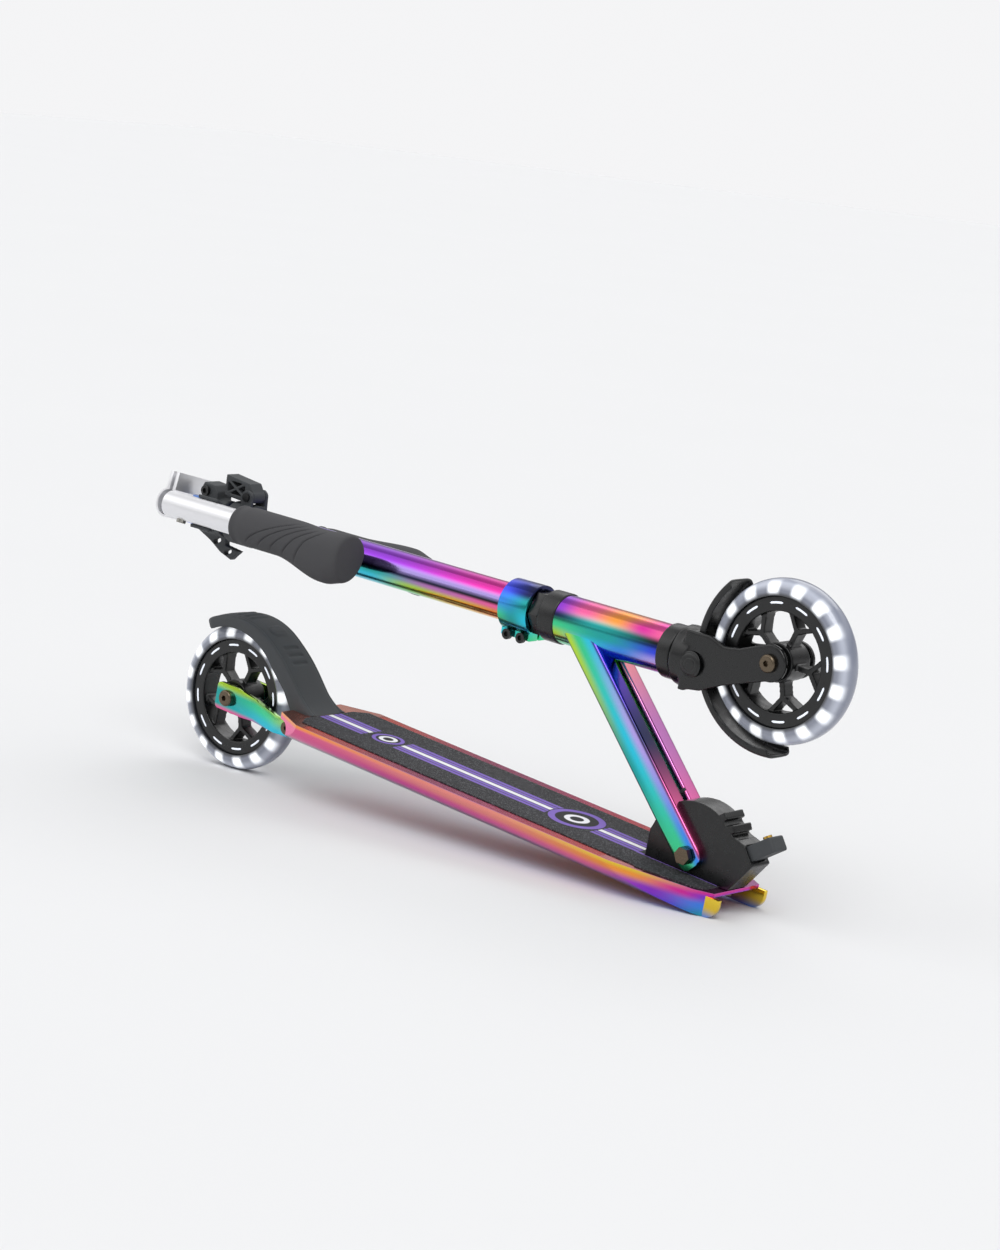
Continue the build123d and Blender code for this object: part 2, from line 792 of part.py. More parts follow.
for side, sign in (("left", 1), ("right", -1)):
    full_low = min(sign * leg_inner, sign * leg_outer)
    foot_low = min(sign * leg_foot_inner, sign * leg_outer)
    with BuildPart() as neck_leg:
        with BuildSketch(leg_side(full_low)):
            with Locations(((leg_foot_length + leg_length) / 2, 0)):
                Rectangle(leg_length - leg_foot_length, leg_width)
        extrude(amount=leg_outer - leg_inner)
        with BuildSketch(leg_side(foot_low)):
            with Locations(((leg_foot_length - leg_end_reach) / 2, 0)):
                Rectangle(leg_foot_length + leg_end_reach, leg_width)
        extrude(amount=leg_outer - leg_foot_inner)
        foot_edges = neck_leg.edges().filter_by(Axis.Y).sort_by(Axis(pivot, leg_dir))[:2]
        fillet(foot_edges, 9.0)
        with BuildSketch(leg_side(-leg_outer - 1)):
            Circle(pivot_radius + running_gap)
            with Locations((leg_hole_from_pivot, 1.4)):
                Circle(leg_hole_radius)
        extrude(amount=2 * leg_outer + 2, mode=Mode.SUBTRACT)
        with BuildSketch(bar_section(head_low)):
            Circle(head_tube_radius)
        extrude(amount=head_high - head_low, mode=Mode.SUBTRACT)
    save(neck_leg, f"{side}_neck_leg")

with BuildPart() as leg_plugs:
    for sign in (1, -1):
        low = min(sign * leg_inner, sign * leg_foot_inner)
        with BuildSketch(leg_side(low)):
            with Locations((leg_foot_length - leg_plug_depth / 2, 0)):
                Rectangle(leg_plug_depth, leg_width - 1)
        extrude(amount=leg_foot_inner - leg_inner)
save(leg_plugs, "leg_end_plugs")

with BuildPart() as head_tube:
    with BuildSketch(bar_section(head_low)):
        Circle(head_tube_radius)
        Circle(head_tube_bore, mode=Mode.SUBTRACT)
    extrude(amount=head_high - head_low)
save(head_tube, "head_tube")

for name, low, high, radius in (
    ("lower", crown_high + 1.5, head_low, cup_radius),
    ("upper", head_high, headset_top - 1, cup_radius - 1),
):
    with BuildPart() as cup:
        with BuildSketch(bar_section(low)):
            Circle(radius)
            Circle(head_tube_bore, mode=Mode.SUBTRACT)
        extrude(amount=high - low)
        outer_rims = cup.edges().filter_by(GeomType.CIRCLE).sort_by(SortBy.RADIUS)[-2:]
        fillet(outer_rims, 1.5)
    save(cup, f"{name}_headset_cup")

# ================= fork, steerer and headset =================
with BuildPart() as fork:
    for start in (fork_outer, -fork_inner):
        with BuildSketch(bar_side(start)):
            with BuildLine():
                Polyline(
                    (0, fork_offset + 14),
                    (12, fork_offset + 11.3),
                    (crown_low - 28, fork_offset + 4.8),
                    (crown_low - 14, fork_offset + 2.8),
                    (crown_low, crown_radius),
                    (bridge_low + 6, crown_radius),
                    (bridge_low + 6, -crown_radius + 2),
                    (crown_low + 4, -crown_radius + 4),
                    (crown_low - 16, fork_offset - 27.2),
                    (10, fork_offset - 17.2),
                    (0, fork_offset - 14),
                    (0, fork_offset + 14),
                )
            make_face()
            with Locations((0, fork_offset)):
                Circle(dropout_boss_radius)
        extrude(amount=fork_arm_thickness)
    with BuildSketch(bar_section(bridge_low)):
        Rectangle(2 * fork_outer, 2 * crown_radius - 2)
        Circle(crown_radius)
    extrude(amount=6)
    with BuildSketch(bar_section(bridge_low + 6)):
        Circle(crown_radius)
    extrude(amount=crown_high - bridge_low - 6)
    with BuildSketch(bar_section(bridge_low + 2)):
        Circle(steerer_radius)
    extrude(amount=crown_high - bridge_low, mode=Mode.SUBTRACT)
    with BuildSketch(bar_side(fork_outer + 1)):
        with Locations((0, fork_offset)):
            Circle(axle_radius + running_gap)
    extrude(amount=2 * fork_outer + 2, mode=Mode.SUBTRACT)
    with BuildSketch(bar_section(bridge_low - 1)):
        with Locations((-fender_screw_side, fender_screw_up), (fender_screw_side, fender_screw_up)):
            Circle(fender_screw_radius)
    extrude(amount=fender_screw_grip + 1, mode=Mode.SUBTRACT)
save(fork, "fork")

with BuildPart() as steerer:
    with BuildSketch(bar_section(bridge_low + 2)):
        Circle(steerer_radius)
        Circle(steerer_radius - 2.5, mode=Mode.SUBTRACT)
    extrude(amount=collar_high + 1 - bridge_low - 2)
save(steerer, "steerer_tube")

with BuildPart() as headset_bearings:
    for low, high in ((crown_high, head_low - 1), (head_high + 1, headset_top)):
        with BuildSketch(bar_section(low)):
            Circle(head_tube_bore - running_gap)
            Circle(steerer_radius, mode=Mode.SUBTRACT)
        extrude(amount=high - low)
save(headset_bearings, "headset_bearings")

with BuildPart() as locknut:
    with BuildSketch(bar_section(headset_top)):
        RegularPolygon(locknut_radius, 6)
        Circle(steerer_radius, mode=Mode.SUBTRACT)
    extrude(amount=locknut_top - headset_top)
save(locknut, "headset_locknut")

with BuildPart() as front_fender:
    with BuildSketch(bar_side(fork_inner - side_gap)):
        with Locations((0, fork_offset)):
            Circle(fender_radius)
            Circle(wheel_radius + 2.8, mode=Mode.SUBTRACT)
        with BuildLine():
            far = 2 * fender_radius
            first = math.radians(fender_start_angle)
            last = math.radians(fender_end_angle)
            Polyline(
                (0, fork_offset),
                (far * math.cos(first), fork_offset + far * math.sin(first)),
                (far, fork_offset),
                (far * math.cos(last), fork_offset + far * math.sin(last)),
                (0, fork_offset),
            )
        make_face(mode=Mode.INTERSECT)
    extrude(amount=2 * (fork_inner - side_gap))
    with BuildSketch(bar_side(tyre_half_width + 0.9)):
        with Locations((0, fork_offset)):
            Circle(fender_radius - front_fender_wall)
    extrude(amount=2 * (tyre_half_width + 0.9), mode=Mode.SUBTRACT)
    with BuildSketch(bar_section(fender_radius - 6)):
        with Locations((0, fork_offset - 2)):
            Rectangle(2 * fender_screw_side + 8, 26)
    extrude(amount=bridge_low - fender_radius + 6)
    with BuildSketch(bar_section(0)):
        with Locations((-fender_screw_side, fender_screw_up), (fender_screw_side, fender_screw_up)):
            Circle(fender_screw_radius)
    extrude(amount=bridge_low + 1, mode=Mode.SUBTRACT)
save(front_fender, "front_fender")

with BuildPart() as fender_screws:
    head_seat = fender_radius - 6
    shank = bridge_low + fender_screw_grip - head_seat
    for low, length, radius in (
        (head_seat - 1.8, 1.8, fender_screw_head),
        (head_seat, shank, fender_screw_radius),
    ):
        with BuildSketch(bar_section(low)):
            with Locations((-fender_screw_side, fender_screw_up), (fender_screw_side, fender_screw_up)):
                Circle(radius)
        extrude(amount=length)
save(fender_screws, "fender_screws")

with BuildPart() as outer_bar:
    with BuildSketch(bar_section(bar_low)):
        Circle(bar_radius)
        Circle(bar_bore, mode=Mode.SUBTRACT)
    extrude(amount=bar_high - bar_low)
    with BuildSketch(bar_top(0)):
        for height in height_steps:
            with Locations((pin_along + height, 0)):
                Circle(pin_radius + running_gap)
    extrude(amount=-bar_radius - 1, mode=Mode.SUBTRACT)
    with BuildSketch(bar_top(0)):
        with Locations((bar_high - 9, 0)):
            Rectangle(19, 2.0)
    extrude(amount=bar_radius + 1, mode=Mode.SUBTRACT)
save(outer_bar, "outer_bar_tube")

with BuildPart() as collar:
    with BuildSketch(bar_section(collar_low)):
        Circle(collar_radius)
        with Locations((0, -(collar_radius + 4) / 2 - 2)):
            Rectangle(2 * collar_ear_half_width, collar_radius - 3)
        with Locations((0, -collar_radius)):
            Rectangle(2.4, 24, mode=Mode.SUBTRACT)
        Circle(bar_radius, mode=Mode.SUBTRACT)
    extrude(amount=collar_high - collar_low)
    long_edges = collar.edges().filter_by(GeomType.CIRCLE).sort_by(SortBy.RADIUS)[-2:]
    chamfer(long_edges, 0.8)
    with BuildSketch(bar_side(collar_radius)):
        with Locations(*[(along, collar_bolt_up) for along in collar_bolts]):
            Circle(collar_bolt_radius)
    extrude(amount=2 * collar_radius, mode=Mode.SUBTRACT)
save(collar, "clamp_collar")

with BuildPart() as collar_screws:
    for start, length, radius in (
        (collar_ear_half_width, 2 * collar_ear_half_width, collar_bolt_radius),
        (collar_ear_half_width + bolt_head, bolt_head, socket_head_radius),
    ):
        with BuildSketch(bar_side(start)):
            with Locations(*[(along, collar_bolt_up) for along in collar_bolts]):
                Circle(radius)
        extrude(amount=length)
    with BuildSketch(bar_side(collar_ear_half_width + bolt_head)):
        with Locations(*[(along, collar_bolt_up) for along in collar_bolts]):
            RegularPolygon(socket_hex_radius, 6)
    extrude(amount=2.0, mode=Mode.SUBTRACT)
save(collar_screws, "clamp_bolts")

with BuildPart() as bar_clamp:
    with BuildSketch(bar_section(clamp_low)):
        Circle(clamp_radius)
        Circle(bar_radius, mode=Mode.SUBTRACT)
    extrude(amount=bar_high - clamp_low)
    with BuildSketch(bar_section(bar_high)):
        Circle(clamp_radius)
        Circle(inner_bar_radius + free_gap, mode=Mode.SUBTRACT)
    extrude(amount=clamp_lip)
    for side in (lever_half_width + free_gap + ear_thickness, -lever_half_width - free_gap):
        with BuildSketch(bar_side(side)):
            with Locations((lever_pin_along, lever_pin_up)):
                Circle(ear_radius)
            with Locations((lever_pin_along, (lever_pin_up + bar_radius) / 2 - 2)):
                Rectangle(2 * ear_radius, lever_pin_up - bar_radius + 4)
        extrude(amount=ear_thickness)
    with BuildSketch(bar_section(clamp_low - 1)):
        Circle(bar_radius)
    extrude(amount=bar_high - clamp_low + 1, mode=Mode.SUBTRACT)
    with BuildSketch(bar_side(clamp_radius)):
        with Locations((lever_pin_along, lever_pin_up)):
            Circle(lever_pin_radius)
    extrude(amount=2 * clamp_radius, mode=Mode.SUBTRACT)
save(bar_clamp, "bar_clamp")

with BuildPart() as lever_pin:
    pin_reach = lever_half_width + free_gap + ear_thickness
    with BuildSketch(bar_side(pin_reach + lever_pin_head)):
        with Locations((lever_pin_along, lever_pin_up)):
            Circle(lever_pin_radius)
    extrude(amount=2 * (pin_reach + lever_pin_head))
    for start in (pin_reach + lever_pin_head, -pin_reach):
        with BuildSketch(bar_side(start)):
            with Locations((lever_pin_along, lever_pin_up)):
                Circle(lever_pin_radius + 1.2)
        extrude(amount=lever_pin_head)
save(lever_pin, "lever_pin")

with BuildPart() as lever:
    with BuildSketch(bar_side(lever_half_width)):
        with Locations((lever_pin_along, lever_pin_up)):
            Circle(lever_root_radius)
        with BuildLine():
            Polyline(
                (lever_pin_along, lever_pin_up - lever_root_radius),
                (lever_tip, lever_pin_up - 4),
                (lever_tip, lever_top),
                (lever_pin_along + 1, lever_top - 3),
                (lever_pin_along - 4, lever_pin_up + 3.5),
                (lever_pin_along, lever_pin_up - lever_root_radius),
            )
        make_face()
        web_middle = (lever_pin_along + lever_tip) / 2 + 2
        web_height = (lever_pin_up + lever_top) / 2 - 3
        with Locations((web_middle, web_height)):
            Rectangle(20, 11, mode=Mode.SUBTRACT)
            Rectangle(23, 2.2, rotation=30)
            Rectangle(23, 2.2, rotation=-30)
        with Locations((lever_pin_along, lever_pin_up)):
            Circle(lever_pin_radius + running_gap, mode=Mode.SUBTRACT)
    extrude(amount=2 * lever_half_width)
save(lever, "quick_release_lever")

# ================= upper bar and cross tube =================
with BuildPart() as inner_bar:
    with BuildSketch(bar_section(inner_bar_low)):
        Circle(inner_bar_radius)
        Circle(inner_bar_radius - inner_bar_wall, mode=Mode.SUBTRACT)
    extrude(amount=cross_along - cross_slot / 2 - cross_ear - inner_bar_low)
    with BuildSketch(bar_side(inner_bar_radius + 1, bar_twist)):
        with Locations((cross_along, 0)):
            Circle(cross_radius)
    extrude(amount=2 * inner_bar_radius + 2, mode=Mode.SUBTRACT)
    with BuildSketch(bar_top(0)):
        with Locations((pin_along, 0)):
            Circle(pin_radius + running_gap)
    extrude(amount=-inner_bar_radius - 1, mode=Mode.SUBTRACT)
save(inner_bar, "inner_bar_tube")

with BuildPart() as height_pin:
    with BuildSketch(bar_top(-pin_tip, 0)):
        with Locations((pin_along, 0)):
            Circle(pin_radius)
    extrude(amount=pin_tip - pin_flange)
    with BuildSketch(bar_top(-pin_flange, 0)):
        with Locations((pin_along, 0)):
            Circle(pin_radius + 1)
        with Locations((pin_along + 15, 0)):
            Rectangle(30, 5)
    extrude(amount=spring_leaf)
save(height_pin, "height_pin")

with BuildPart() as cross_tube:
    with BuildSketch(bar_side(cross_half_length, bar_twist)):
        with Locations((cross_along, 0)):
            Circle(cross_radius)
        with Locations((cross_along, cross_ear_top / 2)):
            Rectangle(cross_slot + 2 * cross_ear, cross_ear_top)
        with Locations((cross_along, cross_ear_top)):
            Rectangle(cross_slot, 2 * cross_ear_top, mode=Mode.SUBTRACT)
        with Locations((cross_along, 0)):
            Circle(handle_radius + bore_gap, mode=Mode.SUBTRACT)
    extrude(amount=2 * cross_half_length)
    with BuildSketch(bar_top(0, bar_twist)):
        for side in (1, -1):
            with Locations((cross_along, side * (cross_half_length - cross_button_inset))):
                Circle(button_radius + running_gap)
    extrude(amount=-cross_radius - 1, mode=Mode.SUBTRACT)
save(cross_tube, "cross_tube")

with BuildPart() as holder:
    with BuildSketch(bar_section(holder_low)):
        Circle(inner_bar_radius + holder_wall)
    extrude(amount=holder_high - holder_low)
    with BuildSketch(bar_side(holder_half_width)):
        with BuildLine():
            Polyline(
                (holder_low + 10, 8),
                (holder_low + 10, 22),
                (holder_low + 14, 27),
                (holder_high - 2, 28),
                (holder_high, 24),
                (holder_high, 8),
                (holder_low + 10, 8),
            )
        make_face()
    extrude(amount=2 * holder_half_width)
    with BuildSketch(bar_side(fin_half_width)):
        with BuildLine():
            Polyline(
                (holder_high + 5, -9),
                (holder_high + 5, -15),
                (holder_high - 11, -21.5),
                (holder_high - 24, -29),
                (holder_high - 37, -33),
                (holder_high - 46, -24),
                (holder_low, -22),
                (holder_low, -9),
                (holder_high + 5, -9),
            )
        make_face()
        with Locations((holder_high - 19, -20)):
            SlotOverall(9, 4, rotation=-28, mode=Mode.SUBTRACT)
        with Locations((holder_high - 33, -27)):
            SlotOverall(9, 3.4, rotation=-28, mode=Mode.SUBTRACT)
    extrude(amount=2 * fin_half_width)
    for side, tip in ((1, handle_tip["right"]), (-1, handle_tip["left"])):
        clip_high = tip - clip_from_tip
        clip_low = clip_high - clip_length
        clip_inner = handle_radius + free_gap
        with BuildSketch(bar_section(clip_low, bar_twist)):
            with Locations((side * handle_reach, 0)):
                Circle(clip_inner + clip_wall)
                Circle(clip_inner, mode=Mode.SUBTRACT)
            with Locations((side * (handle_reach + 20), 0)):
                Rectangle(40, 50, mode=Mode.SUBTRACT)
        extrude(amount=clip_length)
        arm_outer = handle_reach - clip_inner - 1.5
        with BuildSketch(bar_section(clip_low, bar_twist)):
            with Locations((side * (arm_outer + clamp_radius + 1) / 2, 0)):
                Rectangle(arm_outer - clamp_radius - 1, clip_arm_height)
        extrude(amount=holder_low + 12 - clip_low)
        with BuildSketch(bar_section(holder_low, bar_twist)):
            with Locations((side * arm_outer / 2, 0)):
                Rectangle(arm_outer, clip_arm_height)
        extrude(amount=12)
    with BuildSketch(bar_section(holder_low - 1)):
        Circle(inner_bar_radius)
    extrude(amount=holder_high - holder_low + 10, mode=Mode.SUBTRACT)
    with BuildSketch(bar_side(holder_half_width + 1)):
        with Locations((holder_high - 6, holder_bolt_up)):
            Circle(collar_bolt_radius)
    extrude(amount=2 * holder_half_width + 2, mode=Mode.SUBTRACT)
save(holder, "handle_holder")

with BuildPart() as holder_screw:
    for start, length, radius in (
        (holder_half_width, 2 * holder_half_width, collar_bolt_radius),
        (holder_half_width + bolt_head, bolt_head, socket_head_radius),
    ):
        with BuildSketch(bar_side(start)):
            with Locations((holder_high - 6, holder_bolt_up)):
                Circle(radius)
        extrude(amount=length)
    with BuildSketch(bar_side(holder_half_width + bolt_head)):
        with Locations((holder_high - 6, holder_bolt_up)):
            RegularPolygon(socket_hex_radius, 6)
    extrude(amount=2.0, mode=Mode.SUBTRACT)
save(holder_screw, "holder_screw")

# ================= handles =================
for side, sign in (("left", -1), ("right", 1)):
    tip = handle_tip[side]
    reach = sign * handle_reach
    button_along = tip - button_from_tip
    grip_outer = tip - grip_start
    tube_end = tip - handle_tube_length
    with BuildPart() as handle_tube:
        with BuildSketch(bar_section(tube_end, bar_twist)):
            with Locations((reach, 0)):
                Circle(handle_radius)
                Circle(handle_radius - handle_wall, mode=Mode.SUBTRACT)
        extrude(amount=handle_tube_length)
        with BuildSketch(bar_top(0, bar_twist)):
            with Locations((button_along, reach)):
                Circle(button_radius + running_gap)
        extrude(amount=-handle_radius - 1, mode=Mode.SUBTRACT)
    save(handle_tube, f"{side}_handle_tube")

    with BuildPart() as handle_button:
        with BuildSketch(bar_top(-handle_radius - button_rise, bar_twist)):
            with Locations((button_along, reach)):
                Circle(button_radius)
        extrude(amount=button_rise + handle_radius - button_flange)
        with BuildSketch(bar_top(-button_flange, bar_twist)):
            with Locations((button_along, reach)):
                Circle(button_radius + 1)
            with Locations((button_along - 12, reach)):
                Rectangle(24, 5)
        extrude(amount=spring_leaf)
    save(handle_button, f"{side}_handle_button")

    with BuildPart() as grip:
        for distance, radius in (
            (0, grip_collar),
            (3, grip_radius),
            (grip_length - 31, grip_radius),
            (grip_length - 15, grip_flare),
            (grip_length, grip_end_radius),
        ):
            with BuildSketch(bar_section(grip_outer - distance, bar_twist)):
                with Locations((reach, grip_radius - max(radius, grip_radius))):
                    Circle(radius)
        loft(ruled=True)
        with BuildSketch(bar_section(grip_outer - grip_length, bar_twist)):
            with Locations((reach, 0)):
                Rectangle(2 * grip_half_width, 4 * grip_radius)
        extrude(amount=grip_length, mode=Mode.INTERSECT)
        with BuildSketch(bar_section(tube_end, bar_twist)):
            with Locations((reach, 0)):
                Circle(handle_radius)
        extrude(amount=handle_tube_length, mode=Mode.SUBTRACT)
    save(grip, f"{side}_grip")
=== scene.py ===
"""Looks for the folded kick scooter: finishes, soft edges, wheels, fenders, grips, deck print and studio.

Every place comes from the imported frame: node boxes and joint axes. Lengths are in metres.
"""

from __future__ import annotations

import json
import logging
import math
from collections.abc import Callable
from dataclasses import dataclass
from enum import Enum

import bmesh
import bpy
import numpy as np
from mathutils import Matrix, Vector


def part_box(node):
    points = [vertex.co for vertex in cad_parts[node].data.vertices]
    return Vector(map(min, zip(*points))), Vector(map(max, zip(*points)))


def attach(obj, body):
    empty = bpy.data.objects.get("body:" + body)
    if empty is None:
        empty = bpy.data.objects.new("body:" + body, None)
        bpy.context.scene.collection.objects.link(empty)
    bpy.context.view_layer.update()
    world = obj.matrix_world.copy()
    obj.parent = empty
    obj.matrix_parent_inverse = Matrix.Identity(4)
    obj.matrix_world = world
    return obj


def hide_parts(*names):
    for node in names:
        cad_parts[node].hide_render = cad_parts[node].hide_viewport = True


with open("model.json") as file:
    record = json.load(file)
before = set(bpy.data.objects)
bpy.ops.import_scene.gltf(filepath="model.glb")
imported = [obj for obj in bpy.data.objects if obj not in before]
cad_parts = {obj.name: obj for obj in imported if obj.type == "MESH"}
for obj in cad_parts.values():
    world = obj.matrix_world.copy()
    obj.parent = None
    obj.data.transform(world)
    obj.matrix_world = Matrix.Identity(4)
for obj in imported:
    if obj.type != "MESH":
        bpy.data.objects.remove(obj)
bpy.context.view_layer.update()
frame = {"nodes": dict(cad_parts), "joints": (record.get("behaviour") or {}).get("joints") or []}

Colour = tuple[float, float, float]
log = logging.getLogger("scooter")
MM = 0.001


# ---------------------------------------------------------------- frames
@dataclass(frozen=True)
class Axes:
    """A right-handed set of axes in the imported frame."""

    origin: np.ndarray
    x: np.ndarray
    y: np.ndarray
    z: np.ndarray

    def place(self, points: np.ndarray) -> np.ndarray:
        """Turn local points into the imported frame: origin plus each coordinate times its axis.

        Args:
            points: array whose last axis holds local x, y and z in metres.

        Returns:
            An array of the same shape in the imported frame.
        """
        return self.origin + points @ np.stack([self.x, self.y, self.z])

    def matrix(self) -> Matrix:
        """The turn of these axes as a 3x3 matrix."""
        return Matrix(np.stack([self.x, self.y, self.z], axis=1).tolist())


def srgb(code: str) -> Colour:
    """A display colour such as "ff8800" as the linear numbers that shaders take."""
    values = [int(code[i : i + 2], 16) / 255 for i in (0, 2, 4)]
    return tuple(v / 12.92 if v <= 0.04045 else ((v + 0.055) / 1.055) ** 2.4 for v in values)


def joint(name: str) -> dict:
    """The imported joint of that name."""
    return next(j for j in frame["joints"] if j["name"] == name)


def unit(values: object) -> np.ndarray:
    """A vector of length one."""
    v = np.array(values, float)
    return v / np.linalg.norm(v)


LEFT = np.array([0.0, 1.0, 0.0])


def axes_along(origin: object, direction: object) -> Axes:
    """Axes whose x runs along a direction in the middle plane, y level and z completing them upwards."""
    x = unit(direction)
    z = unit(np.cross(x, LEFT))
    if z[2] < 0:
        z = -z
    return Axes(np.array(origin, float), x, np.cross(z, x), z)


REAR_AXLE = np.array(joint("rear_wheel_spin")["pos_m"])
FRONT_AXLE = np.array(joint("front_wheel_spin")["pos_m"])
PIVOT = np.array(joint("neck_fold")["pos_m"])
BAR = axes_along(joint("steering_turn")["pos_m"], joint("steering_turn")["axis"])
HANDLE_UP = unit(joint("left_handle_swing")["axis"])
TAPE_THICKNESS = 0.8 * MM
tape_low, tape_high = (np.array(v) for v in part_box("grip_tape"))
lean = math.atan2(tape_high[2] - tape_low[2] - TAPE_THICKNESS, tape_high[0] - tape_low[0])
DECK = axes_along(REAR_AXLE, (math.cos(lean), 0.0, -math.sin(lean)))
TWISTED = Axes(BAR.origin, BAR.x, np.cross(HANDLE_UP, BAR.x), HANDLE_UP)
plug_low, plug_high = (np.array(v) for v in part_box("leg_end_plugs"))
LEG = axes_along(PIVOT, ((plug_low + plug_high) / 2 - PIVOT) * np.array([1.0, 0.0, 1.0]))


# ---------------------------------------------------------------- node graphs
class Graph:
    """A material's node tree with short ways to add and join nodes."""

    def __init__(self, name: str) -> None:
        """Start an empty material of that name."""
        self.material = bpy.data.materials.new(name)
        self.material.use_nodes = True
        self.tree = self.material.node_tree
        self.tree.nodes.clear()
        self.output = self.tree.nodes.new("ShaderNodeOutputMaterial")
        self.shader = self.tree.nodes.new("ShaderNodeBsdfPrincipled")
        self.tree.links.new(self.shader.outputs[0], self.output.inputs[0])

    def set(self, **values: object) -> None:
        """Set the shader's own sockets, with underscores for spaces."""
        for key, value in values.items():
            self.shader.inputs[key.replace("_", " ")].default_value = value

    def add(self, kind: str, inputs: dict | None = None, **settings: object) -> bpy.types.Node:
        """Add a node.

        Args:
            kind: the node's type without the ShaderNode prefix.
            inputs: socket index or name to a value or an output socket.
            settings: the node's own properties.

        Returns:
            The new node.
        """
        node = self.tree.nodes.new("ShaderNode" + kind)
        for key, value in settings.items():
            setattr(node, key, value)
        for key, value in (inputs or {}).items():
            if isinstance(value, bpy.types.NodeSocket):
                self.tree.links.new(value, node.inputs[key])
            else:
                node.inputs[key].default_value = value
        return node

    def link(self, output: bpy.types.NodeSocket, name: str) -> None:
        """Join an output to one of the shader's sockets."""
        self.tree.links.new(output, self.shader.inputs[name])

    def local(self, axes: Axes) -> bpy.types.NodeSocket:
        """Object coordinates carried into a set of axes, in metres."""
        coordinates = self.add("TexCoord")
        turn = axes.matrix().to_euler()
        mapping = self.add(
            "Mapping",
            {0: coordinates.outputs["Object"], 1: tuple(axes.origin), 2: tuple(turn)},
            vector_type="TEXTURE",
        )
        return mapping.outputs[0]

    def object(self) -> bpy.types.NodeSocket:
        """Plain object coordinates."""
        return self.add("TexCoord").outputs["Object"]

    def split(self, vector: bpy.types.NodeSocket) -> bpy.types.Node:
        """A vector's three numbers."""
        return self.add("SeparateXYZ", {0: vector})

    def math(self, operation: str, a: object, b: object = 0.0) -> bpy.types.NodeSocket:
        """One sum of two numbers or outputs."""
        return self.add("Math", {0: a, 1: b}, operation=operation).outputs[0]

    def span(self, value: object, low: float, high: float, smooth: bool = False) -> bpy.types.NodeSocket:
        """A number carried from low..high to 0..1 and held there."""
        kind = "SMOOTHSTEP" if smooth else "LINEAR"
        node = self.add("MapRange", {0: value, 1: low, 2: high}, interpolation_type=kind)
        return node.outputs[0]

    def ramp(self, value: bpy.types.NodeSocket, stops: object) -> bpy.types.NodeSocket:
        """A colour ramp with eased steps.

        Args:
            value: the number to look up.
            stops: a list or tuple of the place from 0 to 1 and the colour of each stop.

        Returns:
            The ramp's colour.
        """
        node = self.add("ValToRGB", {0: value})
        ramp = node.color_ramp
        ramp.interpolation = "EASE"
        while len(ramp.elements) < len(stops):
            ramp.elements.new(0.5)
        for element, (place, colour) in zip(ramp.elements, sorted(stops, key=lambda s: s[0])):
            element.position = place
            element.color = (*colour, 1.0)
        return node.outputs[0]

    def mix(self, factor: object, a: object, b: object) -> bpy.types.NodeSocket:
        """Mix two colours."""
        node = self.add("Mix", data_type="RGBA")
        for index, value in ((0, factor), (6, a), (7, b)):
            if isinstance(value, bpy.types.NodeSocket):
                self.tree.links.new(value, node.inputs[index])
            elif index == 0:
                node.inputs[0].default_value = value
            else:
                node.inputs[index].default_value = (*value, 1.0)
        return node.outputs[2]

    def noise(self, scale: float, detail: float = 2.0) -> bpy.types.NodeSocket:
        """Noise of so many cells in a metre."""
        return self.add("TexNoise", {0: self.object(), "Scale": scale, "Detail": detail}).outputs[0]

    def gloss(self, pattern: bpy.types.NodeSocket, low: float, high: float) -> None:
        """Let the roughness follow a noise pattern between two values."""
        node = self.add("MapRange", {0: pattern, 1: 0.3, 2: 0.7, 3: low, 4: high})
        self.link(node.outputs[0], "Roughness")

    def bump(self, height: bpy.types.NodeSocket, depth: float, strength: float = 0.6) -> None:
        """Raise the surface's shading by a height map of a depth in metres."""
        node = self.add("Bump", {"Height": height, "Distance": depth, "Strength": strength})
        self.link(node.outputs[0], "Normal")


# ---------------------------------------------------------------- finishes
@dataclass(frozen=True)
class Moulded:
    """Moulded plastic or rubber: fine grain, a little colour drift and soft gloss."""

    name: str
    colour: Colour
    roughness: float = 0.5
    grain: float = 2600.0
    depth: float = 0.00006
    drift: float = 0.25
    sheen: float = 0.0
    specular: float = 0.5

    def build(self) -> bpy.types.Material:
        """Make the material.

        Returns:
            A material with a grained bump and drifting colour and gloss.
        """
        g = Graph(self.name)
        g.set(Sheen_Weight=self.sheen, Specular_IOR_Level=self.specular)
        cloud = g.noise(28.0, 3.0)
        darker = tuple(c * (1 - self.drift) for c in self.colour)
        lighter = tuple(c * (1 + self.drift) for c in self.colour)
        g.link(g.mix(cloud, darker, lighter), "Base Color")
        g.gloss(g.noise(190.0), self.roughness - 0.07, self.roughness + 0.07)
        g.bump(g.noise(self.grain, 2.0), self.depth, 0.35)
        return g.material


@dataclass(frozen=True)
class BareMetal:
    """Turned, polished or plated metal with fine brushed lines along one axis."""

    name: str
    colour: Colour
    roughness: float = 0.2
    axes: Axes | None = None
    stretch: tuple[float, float, float] = (60.0, 2400.0, 2400.0)

    def build(self) -> bpy.types.Material:
        """Make the material.

        Returns:
            A metal whose gloss and shading follow stretched noise.
        """
        g = Graph(self.name)
        g.set(Metallic=1.0)
        place = g.local(self.axes) if self.axes else g.object()
        lines = g.add("Mapping", {0: place, 3: self.stretch}).outputs[0]
        streak = g.add("TexNoise", {0: lines, "Scale": 1.0, "Detail": 2.0}).outputs[0]
        dull = tuple(c * 0.82 for c in self.colour)
        g.link(g.mix(g.noise(45.0, 3.0), dull, self.colour), "Base Color")
        g.gloss(streak, self.roughness * 0.75, self.roughness * 1.3)
        g.bump(streak, 0.00001, 0.25)
        return g.material


